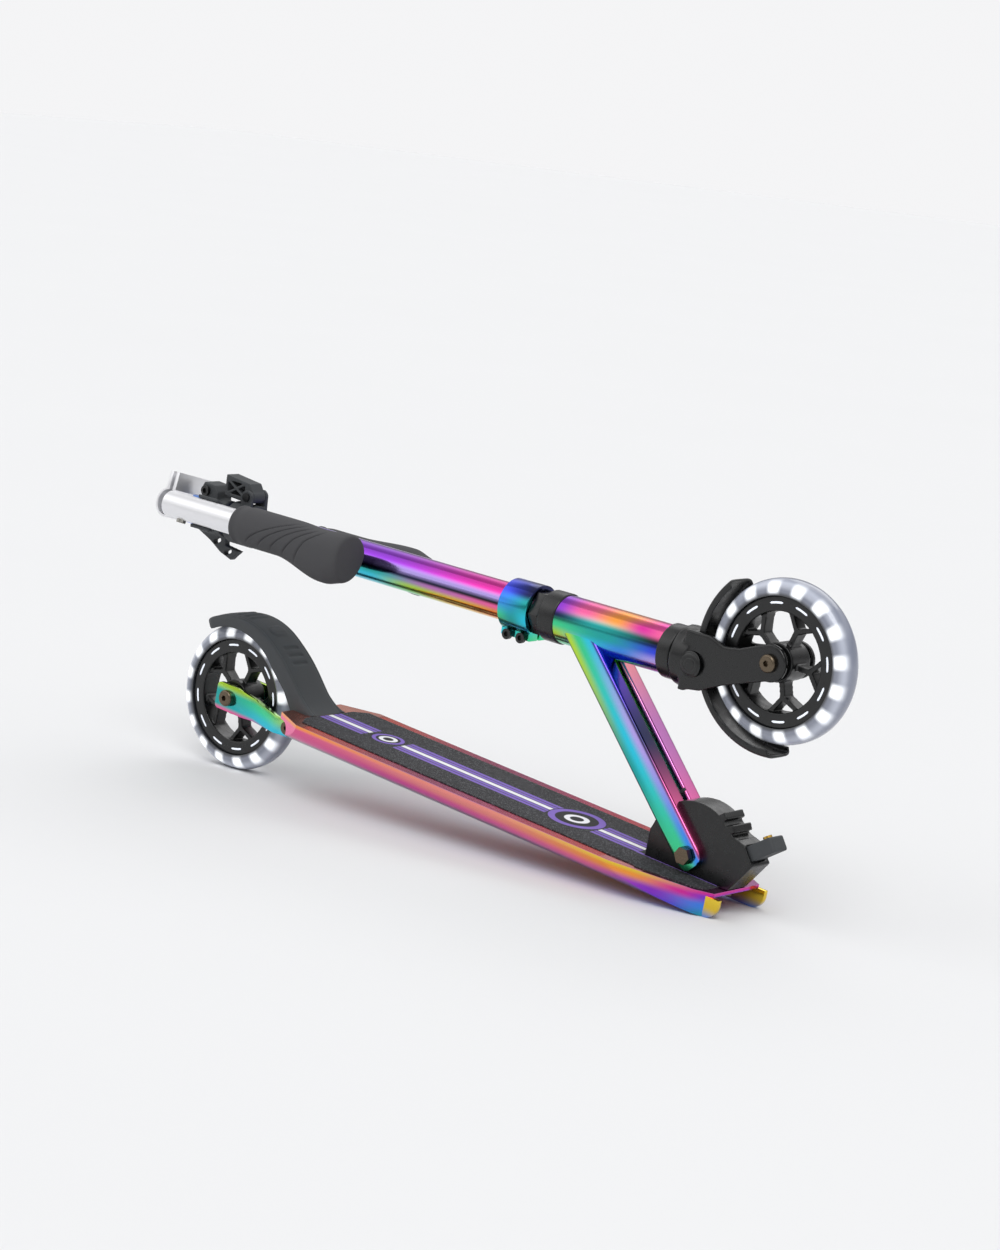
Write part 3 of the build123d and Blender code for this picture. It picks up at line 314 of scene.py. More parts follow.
@dataclass(frozen=True)
class Band:
    """One row of an oil-slick finish: where it lies across, and its colours along the piece."""

    across: float
    along: list[tuple[float, Colour]]


@dataclass(frozen=True)
class OilSlick:
    """A rainbow vacuum coating on polished metal.

    The colour is looked up along one axis in each of a few bands, and the bands blend across another axis. On
    the bar, two bands hold a painted dark reflection and a painted highlight instead of the coating's colour.
    """

    name: str
    axes: Axes
    along: tuple[float, float]
    bands: list[Band]
    across: str = "Z"
    roughness: float = 0.16
    wander: float = 0.03

    def build(self) -> bpy.types.Material:
        """Make the material.

        Returns:
            A metal with the banded colours and a slow wander in where they lie.
        """
        g = Graph(self.name)
        g.set(Metallic=1.0, Coat_Weight=0.35, Coat_Roughness=0.05)
        place = g.local(self.axes)
        parts = g.split(place)
        drift = g.math("MULTIPLY", g.math("SUBTRACT", g.noise(14.0, 1.0), 0.5), self.wander)
        along = g.math("ADD", g.span(parts.outputs["X"], *self.along), drift)
        height = parts.outputs[self.across]
        bands = sorted(self.bands, key=lambda b: b.across)
        colour = g.ramp(along, bands[0].along)
        for low, high in zip(bands, bands[1:]):
            step = g.span(height, low.across, high.across, smooth=True)
            colour = g.mix(step, colour, g.ramp(along, high.along))
        g.link(colour, "Base Color")
        g.gloss(g.noise(60.0), self.roughness * 0.8, self.roughness * 1.25)
        g.bump(g.noise(900.0, 1.0), 0.000004, 0.2)
        return g.material


@dataclass(frozen=True)
class LitTyre:
    """Clear cast tyre lit by diodes around the core: bright spots of painted diode glow in a milky ring whose
    colour by radius is painted shading.
    """

    name: str
    centre: np.ndarray
    inner: float
    outer: float
    lamps: int = 16
    turn: float = 0.1
    glow: float = 0.75
    haze: float = 0.02
    lamp_colour: Colour = (0.95, 0.97, 1.0)
    # painted shading: the ring's colour from the seat (nought) to the tread (one)
    painted_shade_by_radius: tuple[tuple[float, Colour], ...] = (
        (0.0, (0.03, 0.033, 0.04)),
        (0.3, (0.20, 0.215, 0.27)),
        (0.75, (0.46, 0.49, 0.58)),
        (1.0, (0.22, 0.24, 0.31)),
    )

    def build(self) -> bpy.types.Material:
        """Make the material.

        The glow is a wave of so many spots around the ring times a bell across it.

        Returns:
            A glossy clear-looking material with glowing spots.
        """
        g = Graph(self.name)
        axes = Axes(self.centre, DECK.x, DECK.z, -DECK.y)
        place = g.local(axes)
        parts = g.split(place)
        angle = g.math("ARCTAN2", parts.outputs["Y"], parts.outputs["X"])
        flat = g.add("CombineXYZ", {0: parts.outputs["X"], 1: parts.outputs["Y"]}).outputs[0]
        radius = g.add("VectorMath", {0: flat}, operation="LENGTH").outputs["Value"]
        # painted glow of the diodes: bright spots around the ring, spread across it by a bell
        wave = g.math("COSINE", g.math("MULTIPLY", g.math("ADD", angle, self.turn), float(self.lamps)))
        spot = g.span(g.math("ADD", wave, g.math("MULTIPLY", g.noise(30.0), 0.4)), -0.25, 1.15, smooth=True)
        depth = self.outer - self.inner
        rise = g.span(radius, self.inner, self.inner + 0.35 * depth, smooth=True)
        fall = g.span(radius, self.outer, self.outer - 0.45 * depth, smooth=True)
        bell = g.math("MULTIPLY", rise, fall)
        glow = g.math("MULTIPLY", spot, bell)
        # painted shading: dark at the seat, brightest three quarters out, darker again at the tread
        body = g.ramp(g.span(radius, self.inner, self.outer), self.painted_shade_by_radius)
        g.link(g.mix(glow, body, self.lamp_colour), "Base Color")
        g.set(Roughness=0.12, Coat_Weight=0.6, Coat_Roughness=0.04)
        g.shader.inputs["Emission Color"].default_value = (0.94, 0.97, 1.0, 1.0)
        light = g.math("ADD", g.math("MULTIPLY", glow, self.glow), g.math("MULTIPLY", bell, self.haze))
        g.link(light, "Emission Strength")
        g.bump(g.noise(120.0, 1.0), 0.00002, 0.2)
        return g.material


@dataclass(frozen=True)
class LampGlow:
    """A lit diode strip under frosted plastic: a soft even glow with slight mottling."""

    name: str
    colour: Colour
    strength: float

    def build(self) -> bpy.types.Material:
        """Make the material.

        Returns:
            A pale glossy material that glows.
        """
        g = Graph(self.name)
        dull = tuple(c * 0.85 for c in self.colour)
        g.link(g.mix(g.noise(160.0), dull, self.colour), "Base Color")
        g.set(Roughness=0.3)
        g.shader.inputs["Emission Color"].default_value = (*self.colour, 1.0)
        g.shader.inputs["Emission Strength"].default_value = self.strength
        return g.material


@dataclass(frozen=True)
class PrintedTape:
    """Black anti-slip tape with a printed centre stripe: white between purple bands, and two round rings.

    Lengths are in metres along the deck and across it. A ring is its centre, its radius and the inner share.
    """

    name: str
    axes: Axes
    runs: tuple[tuple[float, float], ...] = ((0.100, 0.147), (0.182, 0.345), (0.392, 0.439))
    white_half: float = 0.0026
    purple_bands: tuple[tuple[float, float], ...] = ((0.0038, 0.0078), (0.0090, 0.0128))
    front_lines: tuple[tuple[float, float], ...] = ((0.0105, 0.0135), (-0.0135, -0.0105))
    front_run: tuple[float, float] = (0.439, 0.517)
    small_ring: tuple[float, float, float, float] = (0.165, 0.001, 0.0145, 0.55)
    large_ring: tuple[float, float, float, float] = (0.367, 0.002, 0.0245, 0.42)
    grain: float = 1500.0
    grit: float = 0.00025

    def build(self) -> bpy.types.Material:
        """Make the material.

        Returns:
            A gritty black material with the print under the grit.
        """
        g = Graph(self.name)
        parts = g.split(g.local(self.axes))
        x, y = parts.outputs["X"], parts.outputs["Y"]
        side = g.math("ABSOLUTE", y)

        def within(value: object, low: float, high: float, soft: float = 0.0003) -> bpy.types.NodeSocket:
            """One where the value lies between two limits."""
            rise = g.span(value, low - soft, low + soft)
            fall = g.span(value, high + soft, high - soft)
            return g.math("MULTIPLY", rise, fall)

        def away(centre_x: float, centre_y: float) -> bpy.types.NodeSocket:
            """Distance from a point on the deck."""
            dx = g.math("SUBTRACT", x, centre_x)
            dy = g.math("SUBTRACT", y, centre_y)
            square = g.math("ADD", g.math("MULTIPLY", dx, dx), g.math("MULTIPLY", dy, dy))
            return g.math("SQRT", square)

        white = srgb("e9e9ee")
        purple = srgb("7d63ba")
        length = within(x, *self.runs[0])
        for run in self.runs[1:]:
            length = g.math("ADD", length, within(x, *run))
        cells = g.add("TexVoronoi", {0: g.object(), "Scale": self.grain})
        grains = g.span(g.split(cells.outputs["Color"]).outputs["X"], 0.74, 0.88)
        ground = g.mix(g.noise(22.0, 3.0), srgb("1c1c1f"), srgb("26262a"))
        colour = g.mix(grains, ground, srgb("5a5a5e"))
        bands = g.math("ADD", within(side, *self.purple_bands[0]), within(side, *self.purple_bands[1]))
        colour = g.mix(g.math("MULTIPLY", bands, length), colour, purple)
        colour = g.mix(g.math("MULTIPLY", within(side, -1.0, self.white_half), length), colour, white)
        for line in self.front_lines:
            ahead = g.math("MULTIPLY", within(y, *line), within(x, *self.front_run))
            colour = g.mix(ahead, colour, purple)
        for centre_x, centre_y, radius, inner in (self.small_ring, self.large_ring):
            distance = away(centre_x, centre_y)
            colour = g.mix(within(distance, -1.0, radius), colour, ground)
            colour = g.mix(within(distance, radius * 0.72, radius * 0.95), colour, purple)
            colour = g.mix(within(distance, radius * inner * 0.55, radius * inner), colour, white)
        g.link(colour, "Base Color")
        g.set(Roughness=0.82)
        g.bump(cells.outputs["Distance"], self.grit, 0.8)
        return g.material


# ---------------------------------------------------------------- mesh helpers
def shade(mesh: bpy.types.Mesh, degrees: float = 35.0) -> None:
    """Smooth shading with sharp edges past an angle."""
    mesh.polygons.foreach_set("use_smooth", np.ones(len(mesh.polygons), bool))
    mesh.set_sharp_from_angle(angle=math.radians(degrees))


def finish_piece(
    obj: bpy.types.Object, body: str, material: bpy.types.Material
) -> bpy.types.Object:
    """Give a piece its finish and the body it rides on.

    Args:
        obj: the piece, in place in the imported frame.
        body: the body's name.
        material: its finish.

    Returns:
        The piece.
    """
    obj.data.materials.clear()
    obj.data.materials.append(material)
    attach(obj, body)
    log.info("%s: %d faces on %s", obj.name, len(obj.data.polygons), body)
    return obj


def grid_mesh(name: str, points: np.ndarray, wrap_u: bool = False, wrap_v: bool = False) -> bpy.types.Object:
    """An object from a grid of points.

    Faces join each point (i, j) to its next neighbours (i+1, j), (i+1, j+1) and (i, j+1), so with u across
    and v around, the outward side is the cross product of the u step and the v step.

    Args:
        name: the object's name.
        points: array of u by v by 3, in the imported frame.
        wrap_u: whether the last row joins the first.
        wrap_v: whether the last column joins the first.

    Returns:
        The new object, linked to the scene.
    """
    rows, columns = points.shape[:2]
    index = np.arange(rows * columns).reshape(rows, columns)
    if wrap_u:
        index = np.vstack([index, index[:1]])
    if wrap_v:
        index = np.hstack([index, index[:, :1]])
    quads = np.stack([index[:-1, :-1], index[1:, :-1], index[1:, 1:], index[:-1, 1:]], axis=-1).reshape(-1, 4)
    mesh = bpy.data.meshes.new(name)
    mesh.from_pydata(points.reshape(-1, 3).tolist(), [], quads.tolist())
    mesh.update()
    obj = bpy.data.objects.new(name, mesh)
    bpy.context.scene.collection.objects.link(obj)
    return obj


def close_up(obj: bpy.types.Object, merge: float = 1e-6) -> bpy.types.Object:
    """Merge doubles, fill open ends and turn every face outwards."""
    bm = bmesh.new()
    bm.from_mesh(obj.data)
    bmesh.ops.remove_doubles(bm, verts=bm.verts, dist=merge)
    open_edges = [e for e in bm.edges if e.is_boundary]
    if open_edges:
        bmesh.ops.holes_fill(bm, edges=open_edges, sides=0)
    bmesh.ops.recalc_face_normals(bm, faces=bm.faces)
    bm.to_mesh(obj.data)
    bm.free()
    return obj


def apply_modifiers(obj: bpy.types.Object) -> bpy.types.Object:
    """Turn a piece's modifiers into its mesh."""
    graph = bpy.context.evaluated_depsgraph_get()
    mesh = bpy.data.meshes.new_from_object(obj.evaluated_get(graph))
    old = obj.data
    obj.modifiers.clear()
    obj.data = mesh
    bpy.data.meshes.remove(old)
    return obj


def joined(name: str, pieces: list[bpy.types.Object]) -> bpy.types.Object:
    """One object from several."""
    bm = bmesh.new()
    for piece in pieces:
        bm.from_mesh(piece.data)
        bpy.data.objects.remove(piece)
    mesh = bpy.data.meshes.new(name)
    bm.to_mesh(mesh)
    bm.free()
    obj = bpy.data.objects.new(name, mesh)
    bpy.context.scene.collection.objects.link(obj)
    return obj


def softened(node: str, width: float) -> bpy.types.Object:
    """A copy of a CAD node with rounded edges that stands for it.

    Args:
        node: the CAD node.
        width: the rounding's width in metres.

    Returns:
        The rounded copy, hiding the CAD node.
    """
    obj = bpy.data.objects.new(node + "_finished", frame["nodes"][node].data.copy())
    bpy.context.scene.collection.objects.link(obj)
    bm = bmesh.new()
    bm.from_mesh(obj.data)
    bmesh.ops.remove_doubles(bm, verts=bm.verts, dist=2e-6)
    bmesh.ops.dissolve_limit(bm, angle_limit=math.radians(0.6), verts=bm.verts, edges=bm.edges)
    bm.to_mesh(obj.data)
    bm.free()
    bevel = obj.modifiers.new("edges", "BEVEL")
    bevel.width = width
    bevel.segments = 2
    bevel.limit_method = "ANGLE"
    bevel.angle_limit = math.radians(35)
    bevel.use_clamp_overlap = True
    apply_modifiers(obj)
    shade(obj.data, 40.0)
    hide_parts(node)
    return obj


def moulded(node: str, voxel: float, passes: int) -> bpy.types.Object:
    """A copy of a CAD node with soft moulded edges that stands for it.

    The closed surface is rebuilt on an even grid of cells and relaxed a few times, which rounds its edges.

    Args:
        node: the CAD node.
        voxel: the cell size in metres.
        passes: how often the surface is relaxed.

    Returns:
        The moulded copy, hiding the CAD node.
    """
    obj = bpy.data.objects.new(node + "_moulded", frame["nodes"][node].data.copy())
    bpy.context.scene.collection.objects.link(obj)
    close_up(obj, 2e-6)
    remesh = obj.modifiers.new("cells", "REMESH")
    remesh.mode = "VOXEL"
    remesh.voxel_size = voxel
    relax = obj.modifiers.new("relax", "SMOOTH")
    relax.iterations = passes
    relax.factor = 0.5
    apply_modifiers(obj)
    shade(obj.data, 60.0)
    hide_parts(node)
    return obj


def dress(nodes: list[str], material: bpy.types.Material) -> None:
    """Give CAD nodes that stay as they are a finish."""
    for node in nodes:
        mesh = frame["nodes"][node].data
        mesh.materials.clear()
        mesh.materials.append(material)
        log.info("%s: finished as %s", node, material.name)


def lathe(name: str, axes: Axes, profile: np.ndarray, steps: int) -> bpy.types.Object:
    """A closed ring turned about an axis.

    Each profile point (offset, radius) goes round the axes' y direction: x is radius times cosine and z is
    radius times sine of the angle.

    Args:
        name: the object's name.
        axes: the turning axes, with y as the axle.
        profile: array of offset along y and radius, a closed outline.
        steps: facets around.

    Returns:
        The new object.
    """
    angle = np.linspace(0, 2 * np.pi, steps, endpoint=False)
    offset, radius = profile[:, 0][:, None], profile[:, 1][:, None]
    level = np.broadcast_to(offset, (len(profile), steps))
    local = np.stack([radius * np.cos(angle), level, radius * np.sin(angle)], axis=-1)
    obj = grid_mesh(name, axes.place(local), wrap_u=True, wrap_v=True)
    close_up(obj)
    shade(obj.data, 40.0)
    return obj


def shell(
    name: str,
    top: np.ndarray,
    bottom: np.ndarray,
    half_width: np.ndarray,
    axes: Axes,
    wall: float,
    relief: Callable[[np.ndarray, np.ndarray], np.ndarray] | None,
    squareness: float,
    across: int,
) -> bpy.types.Object:
    """A curved guard: a channel whose cross-section is the upper half of a superellipse.

    At each station the lateral place is the half width times cosine to the power two over squareness, and
    the height goes from the bottom edge to the top path as sine to the same power. A relief adds height.

    Args:
        name: the object's name.
        top: stations by 2, x and z of the top path in the axes' side view.
        bottom: stations by 2, the lower edge at each station.
        half_width: half the guard's width at each station.
        axes: the side view's axes.
        wall: the wall's thickness in metres.
        relief: function of (station share, lateral place) giving extra height in metres.
        squareness: the superellipse's power.
        across: points across.

    Returns:
        The guard as a closed solid.
    """
    angle = np.linspace(0, np.pi, across)
    power = 2 / squareness
    side = np.sign(np.cos(angle)) * np.abs(np.cos(angle)) ** power
    rise = np.abs(np.sin(angle)) ** power
    rise[0] = rise[-1] = 0.0
    path = bottom[:, None, :] * (1 - rise[None, :, None]) + top[:, None, :] * rise[None, :, None]
    lateral = half_width[:, None] * side[None, :]
    step = np.gradient(top, axis=0)
    normal = np.stack([step[:, 1], -step[:, 0]], axis=1)
    normal /= np.linalg.norm(normal, axis=1, keepdims=True)
    outward = np.sign(np.sum(normal * (top - bottom), axis=1, keepdims=True))
    normal = normal * outward
    if relief is not None:
        share = np.linspace(0, 1, len(top))[:, None]
        extra = relief(share, lateral) * np.clip((rise - 0.9) / 0.1, 0, 1)[None, :]
        path = path + normal[:, None, :] * extra[:, :, None]
    local = np.stack([path[..., 0], lateral, path[..., 1]], axis=-1)
    obj = grid_mesh(name, axes.place(local))
    row, column = len(top) // 2, across // 2
    centre = local[row, column]
    face_normal = np.cross(local[row + 1, column] - centre, local[row, column + 1] - centre)
    away = np.array([normal[row, 0], 0.0, normal[row, 1]])
    if face_normal @ away < 0:
        obj.data.flip_normals()
    thick = obj.modifiers.new("wall", "SOLIDIFY")
    thick.thickness = wall
    thick.offset = -1.0
    edges = obj.modifiers.new("edges", "BEVEL")
    edges.width = wall * 0.3
    edges.segments = 2
    edges.limit_method = "ANGLE"
    edges.angle_limit = math.radians(50)
    apply_modifiers(obj)
    shade(obj.data, 45.0)
    return obj


def ring_points(
    centre: tuple[float, float], radius: float, start: float, end: float, count: int
) -> np.ndarray:
    """Points on an arc in a side view, from one angle to another in degrees."""
    angle = np.radians(np.linspace(start, end, count))
    return np.stack([centre[0] + radius * np.cos(angle), centre[1] + radius * np.sin(angle)], axis=1)


def resampled(points: np.ndarray, count: int) -> np.ndarray:
    """The same path with evenly spaced points."""
    steps = np.linalg.norm(np.diff(points, axis=0), axis=1)
    distance = np.concatenate([[0], np.cumsum(steps)])
    even = np.linspace(0, distance[-1], count)
    return np.stack([np.interp(even, distance, points[:, i]) for i in range(points.shape[1])], axis=1)


def bump_at(value: np.ndarray, centre: float, half: float, soft: float) -> np.ndarray:
    """One inside a stretch and nought outside, with softened ends."""
    edge = (half - np.abs(value - centre)) / soft
    return np.clip(edge + 0.5, 0, 1)


# ---------------------------------------------------------------- palette
ROSE, MAGENTA = srgb("f0609c"), srgb("d92a9a")
ORANGE, GOLD, LIME = srgb("f59a3c"), srgb("e8c63a"), srgb("b5dc3e")
GREEN, TEAL, CYAN = srgb("3fcf8e"), srgb("1fa3a0"), srgb("2cc8e4")
SKY, BLUE, NAVY = srgb("3a8df0"), srgb("3346dc"), srgb("141a4a")
VIOLET, PURPLE, LILAC = srgb("6a3fd8"), srgb("8b34c8"), srgb("b9a4ee")
MAUVE, SALMON, INK = srgb("b870b4"), srgb("ee8f86"), srgb("0a0f14")
PALE = srgb("e6efc8")


class Finish(Enum):
    """The finishes that more than one sub-assembly uses."""

    BLACK_PLASTIC = Moulded("black_plastic", srgb("141517"), roughness=0.42, grain=2400.0, depth=0.00005)
    SOFT_BLACK = Moulded("satin_black", srgb("0c0d0e"), roughness=0.3, grain=3000.0, depth=0.00003)
    FORK_BLACK = Moulded("fork_black", srgb("0a0b0c"), roughness=0.26, grain=1800.0, depth=0.00002)
    CORE_BLACK = Moulded("core_black", srgb("0a0b0c"), roughness=0.32, grain=2400.0, depth=0.00003)
    GRIP_RUBBER = Moulded(
        "grip_rubber",
        srgb("18191b"),
        roughness=0.62,
        grain=3400.0,
        depth=0.00009,
        drift=0.18,
        sheen=0.25,
        specular=0.35,
    )
    DARK_BOLT = BareMetal("dark_bolt", srgb("6e6253"), 0.3)
    ZINC = BareMetal("zinc", srgb("b9b7b0"), 0.24)
    SPRING = BareMetal("spring_steel", srgb("8b8c90"), 0.3)
    COPPER = BareMetal("copper_winding", srgb("b06a32"), 0.35)
    POLISHED = BareMetal("polished_tube", srgb("d9dade"), 0.1, TWISTED, (40.0, 1800.0, 1800.0))

    def material(self) -> bpy.types.Material:
        """The finish as a material, made once."""
        made = bpy.data.materials.get(self.value.name)
        return made or self.value.build()


# ---------------------------------------------------------------- sub-assemblies
@dataclass
class Wheel:
    """One light-up wheel: clear tyre, black core with forked spokes, and the lamps that show through."""

    name: str
    centre: np.ndarray
    tyre_half: float = 12.0 * MM
    seat: float = 49.5 * MM
    tread: float = 62.5 * MM
    shoulder_step: float = 2.4 * MM
    seat_inset: float = 1.0 * MM
    dashes: int = 12
    dash_radius: float = 44.4 * MM
    dash_half_angle: float = 0.13
    dash_half_width: float = 0.75 * MM
    dash_height: float = 0.22 * MM
    dash_wall: float = 0.4 * MM
    rim_half: float = 9.5 * MM

    def axes(self) -> Axes:
        """Turning axes with y as the axle."""
        return Axes(self.centre, DECK.x, DECK.y, DECK.z)

    def build_tyre(self) -> bpy.types.Object:
        """The tyre: a rounded crown over a flat seat.

        Across the crown the radius is the shoulder plus the crown height times one minus the offset share to
        the power 2.4, all to the power 0.62.

        Returns:
            The tyre piece.
        """
        share = np.linspace(-1, 1, 41)
        shoulder = self.seat + self.shoulder_step
        crown = shoulder + (self.tread - shoulder) * (1 - np.abs(share) ** 2.4) ** 0.62
        outer = np.stack([share * self.tyre_half, crown], axis=1)
        seat_share = np.linspace(1, -1, 9)
        inner = np.stack([seat_share * (self.tyre_half - self.seat_inset), np.full(9, self.seat)], axis=1)
        return lathe(f"{self.name}_clear_tyre", self.axes(), np.vstack([outer, inner]), 160)

    def build_dashes(self) -> bpy.types.Object:
        """Light slots round both faces of the rim: short curved bars with rounded ends.

        Each bar is a grid over its arc and its width, raised in the middle by a parabola.

        Returns:
            The joined slots.
        """
        u = np.linspace(-1, 1, 13)[:, None]
        v = np.linspace(-1, 1, 5)[None, :]
        bars = []
        for side in (1, -1):
            for index in range(self.dashes):
                middle = 2 * np.pi * (index + 0.5) / self.dashes
                angle = middle + side * u * self.dash_half_angle
                width = self.dash_half_width * np.sqrt(np.clip(1 - u**8, 0, 1)) + 1e-7
                radius = self.dash_radius + v * width
                lift = np.broadcast_to(self.rim_half + self.dash_height * (1 - v**2), radius.shape)
                points = [radius * np.cos(angle), side * lift, radius * np.sin(angle)]
                bars.append(grid_mesh("bar", self.axes().place(np.stack(points, axis=-1))))
        obj = joined(f"{self.name}_rim_slots", bars)
        thick = obj.modifiers.new("wall", "SOLIDIFY")
        thick.thickness = self.dash_wall
        thick.offset = 0.0
        apply_modifiers(obj)
        return close_up(obj)

    def dress(self) -> None:
        """Build the pieces, and finish them and the wheel's hidden hardware."""
        body = f"{self.name}_wheel"
        tyre = self.build_tyre()
        lit = LitTyre(f"{self.name}_lit_tyre", self.centre, self.seat, self.tread)
        finish_piece(tyre, body, lit.build())
        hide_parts(f"{self.name}_tyre")
        core = moulded(f"{self.name}_wheel_core", 0.75 * MM, 4)
        finish_piece(core, body, Finish.CORE_BLACK.material())
        slots = self.build_dashes()
        finish_piece(slots, body, LampGlow("rim_glow", srgb("dfe4ee"), 0.5).build())
        dress([f"{self.name}_led_ring"], LampGlow("lamp_glow", srgb("f6f9ff"), 1.5).build())
        dress([f"{self.name}_generator_coil"], Finish.COPPER.material())
        dress([f"{self.name}_bearings", f"{self.name}_axle_spacers"], Finish.ZINC.material())
        dress([f"{self.name}_axle_bolt", f"{self.name}_axle_nut"], Finish.DARK_BOLT.material())


@dataclass
class Deck:
    """Deck plate, side rails and printed grip tape."""

    rear: float = 78.0 * MM
    front: float = 527.0 * MM
    rail_rear: float = -13.0 * MM

    def dress(self) -> None:
        """Finish the deck's metal and tape."""
        side_colours = [
            Band(-0.006, [(0.0, TEAL), (0.3, CYAN), (0.62, SKY), (0.8, VIOLET), (0.93, BLUE), (1.0, TEAL)]),
            Band(0.003, [(0.0, ROSE), (0.35, MAGENTA), (0.75, ROSE), (0.9, PURPLE), (1.0, SKY)]),
            Band(0.010, [(0.0, ROSE), (0.5, SALMON), (0.86, ORANGE), (0.95, MAGENTA), (1.0, VIOLET)]),
            Band(0.0136, [(0.0, ORANGE), (0.5, SALMON), (0.85, GOLD), (1.0, MAGENTA)]),
            Band(0.0148, [(0.0, SALMON), (0.4, MAUVE), (0.8, ROSE), (1.0, MAUVE)]),
        ]
        plate = OilSlick("deck_slick", DECK, (self.rear, self.front), side_colours)
        dress(["deck_top"], plate.build())
        rail_colours = [
            Band(-0.0115, [(0.0, ROSE), (0.12, MAGENTA), (0.2, SKY), (1.0, CYAN)]),
            Band(-0.007, [(0.0, TEAL), (0.15, CYAN), (0.3, VIOLET), (0.9, MAGENTA), (1.0, SKY)]),
            Band(0.004, [(0.0, TEAL), (0.12, GREEN), (0.25, GOLD), (0.6, ORANGE), (1.0, GOLD)]),
            Band(0.0105, [(0.0, LIME), (0.12, LIME), (0.3, ORANGE), (1.0, GOLD)]),
        ]
        rails = OilSlick("rail_slick", DECK, (self.rail_rear, self.front), rail_colours).build()
        for side in ("left", "right"):
            piece = softened(f"{side}_deck_rail", 0.5 * MM)
            finish_piece(piece, "deck", rails)
        dress(["grip_tape"], PrintedTape("printed_tape", DECK).build())


@dataclass
class BrakeFender:
    """The rear guard that is also the foot brake."""

    outer: float = 71.3 * MM
    skirt: float = 60.5 * MM
    tail: float = 128.0
    half_width: float = 20.5 * MM
    foot: tuple[float, float] = (97.5 * MM, 15.6 * MM)
    wall: float = 2.6 * MM
    crown_end: float = 62.0
    skirt_end: float = 42.0
    slope_reach: float = 36.0 * MM
    length: float = 205.0 * MM
    stations: int = 150
    ribs: tuple[float, ...] = (46.0 * MM, 55.0 * MM, 64.0 * MM)
    slots: tuple[float, ...] = (120.0 * MM, 130.0 * MM, 140.0 * MM)
    boss: float = 94.0 * MM
    crown_height: float = 1.4 * MM

    def paths(self) -> tuple[np.ndarray, np.ndarray]:
        """The top path and the lower edge in the deck's side view.

        The top is an arc about the axle that runs on into an easy reverse curve down to the deck. The lower
        edge is a smaller arc, then a line to the hinge and level to the foot.

        Returns:
            Two arrays of stations by 2.
        """
        crown = ring_points((0.0, 0.0), self.outer, self.tail, self.crown_end, 60)
        end = crown[-1]
        t = np.linspace(0, 1, 60)[1:, None]
        away = crown[-1] - crown[-2]
        away /= np.linalg.norm(away)
        foot = np.array(self.foot)
        leaving, arriving = end + away * self.slope_reach, foot - np.array([22.0, -10.0]) * MM
        near = (1 - t) ** 3 * end + 3 * (1 - t) ** 2 * t * leaving
        slope = near + 3 * (1 - t) * t**2 * arriving + t**3 * foot
        top = resampled(np.vstack([crown, slope]), self.stations)
        arc = ring_points((0.0, 0.0), self.skirt, self.tail - 7.0, self.skirt_end, 60)
        tail_tip = ring_points((0.0, 0.0), self.outer * 0.94, self.tail, self.tail, 1)
        down = [(62.5, 26.0), (72.0, 14.0), (78.0, 4.0), (82.5, -2.5)]
        edge = np.array(down + [(90.0, -0.5), (93.0, 8.0), (97.4, 15.0)]) * MM
        bottom = resampled(np.vstack([tail_tip, arc, edge]), self.stations)
        return top, bottom

    def relief(self, share: np.ndarray, lateral: np.ndarray) -> np.ndarray:
        """Extra height over the guard's top.

        Three cross ribs stand on the crown, a round boss sits below them, and short slots are sunk below it.

        Args:
            share: place from tail to foot, nought to one.
            lateral: place across in metres.

        Returns:
            Height in metres.
        """
        along = share * self.length
        ribs = sum(bump_at(along, place, 0.0021, 0.0014) for place in self.ribs)
        ribs = ribs * bump_at(lateral, 0.0, 0.0105, 0.003) * 1.0 * MM
        fade = np.clip(along / 0.02, 0, 1) * np.clip((self.length - along) / 0.03, 0, 1)
        ridge = self.crown_height * (1 - (lateral / self.half_width) ** 2) * fade
        distance = np.hypot(along - self.boss, lateral)
        boss = np.clip((0.0095 - distance) / 0.0012, 0, 1) * 0.8 * MM
        ring = np.clip(1 - np.abs(distance - 0.0062) / 0.0011, 0, 1) * -0.6 * MM
        slots = sum(bump_at(along, place, 0.0019, 0.0012) for place in self.slots)
        slots = slots * bump_at(lateral, 0.0, 0.0085, 0.002) * -1.0 * MM
        crease = np.clip(1 - np.abs(np.abs(lateral) - 0.0155) / 0.0009, 0, 1) * -0.45 * MM
        return ribs + ridge - self.crown_height + boss + ring + slots + crease

    def dress(self) -> None:
        """Build the guard and finish its hardware."""
        top, bottom = self.paths()
        share = np.linspace(0, 1, self.stations)
        width = self.half_width * (0.42 + 0.58 * np.clip(share / 0.07, 0, 1) ** 0.5)
        guard = shell("brake_guard", top, bottom, width, DECK, self.wall, self.relief, 5.5, 96)
        finish_piece(guard, "brake", Finish.BLACK_PLASTIC.material())
        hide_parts("brake_fender")
        dress(["brake_plate", "brake_spring"], Finish.SPRING.material())
        dress(["brake_hinge_bolt"], Finish.DARK_BOLT.material())


@dataclass
class FoldingBlock:
    """The cast block with its ratchet teeth, the release button and the pivot."""

    def dress(self) -> None:
        """Mould the block and button, and finish the fasteners."""
        block = moulded("folding_block", 0.7 * MM, 10)
        finish_piece(block, "deck", Finish.SOFT_BLACK.material())
        button = moulded("release_button", 0.6 * MM, 4)
        finish_piece(button, "release", Finish.BLACK_PLASTIC.material())
        dress(["button_screw"], BareMetal("brass_screw", srgb("c9a24a"), 0.25).build())
        dress(["release_spring"], Finish.SPRING.material())
        dress(["pivot_bolt", "pivot_nut", "block_screws"], Finish.DARK_BOLT.material())


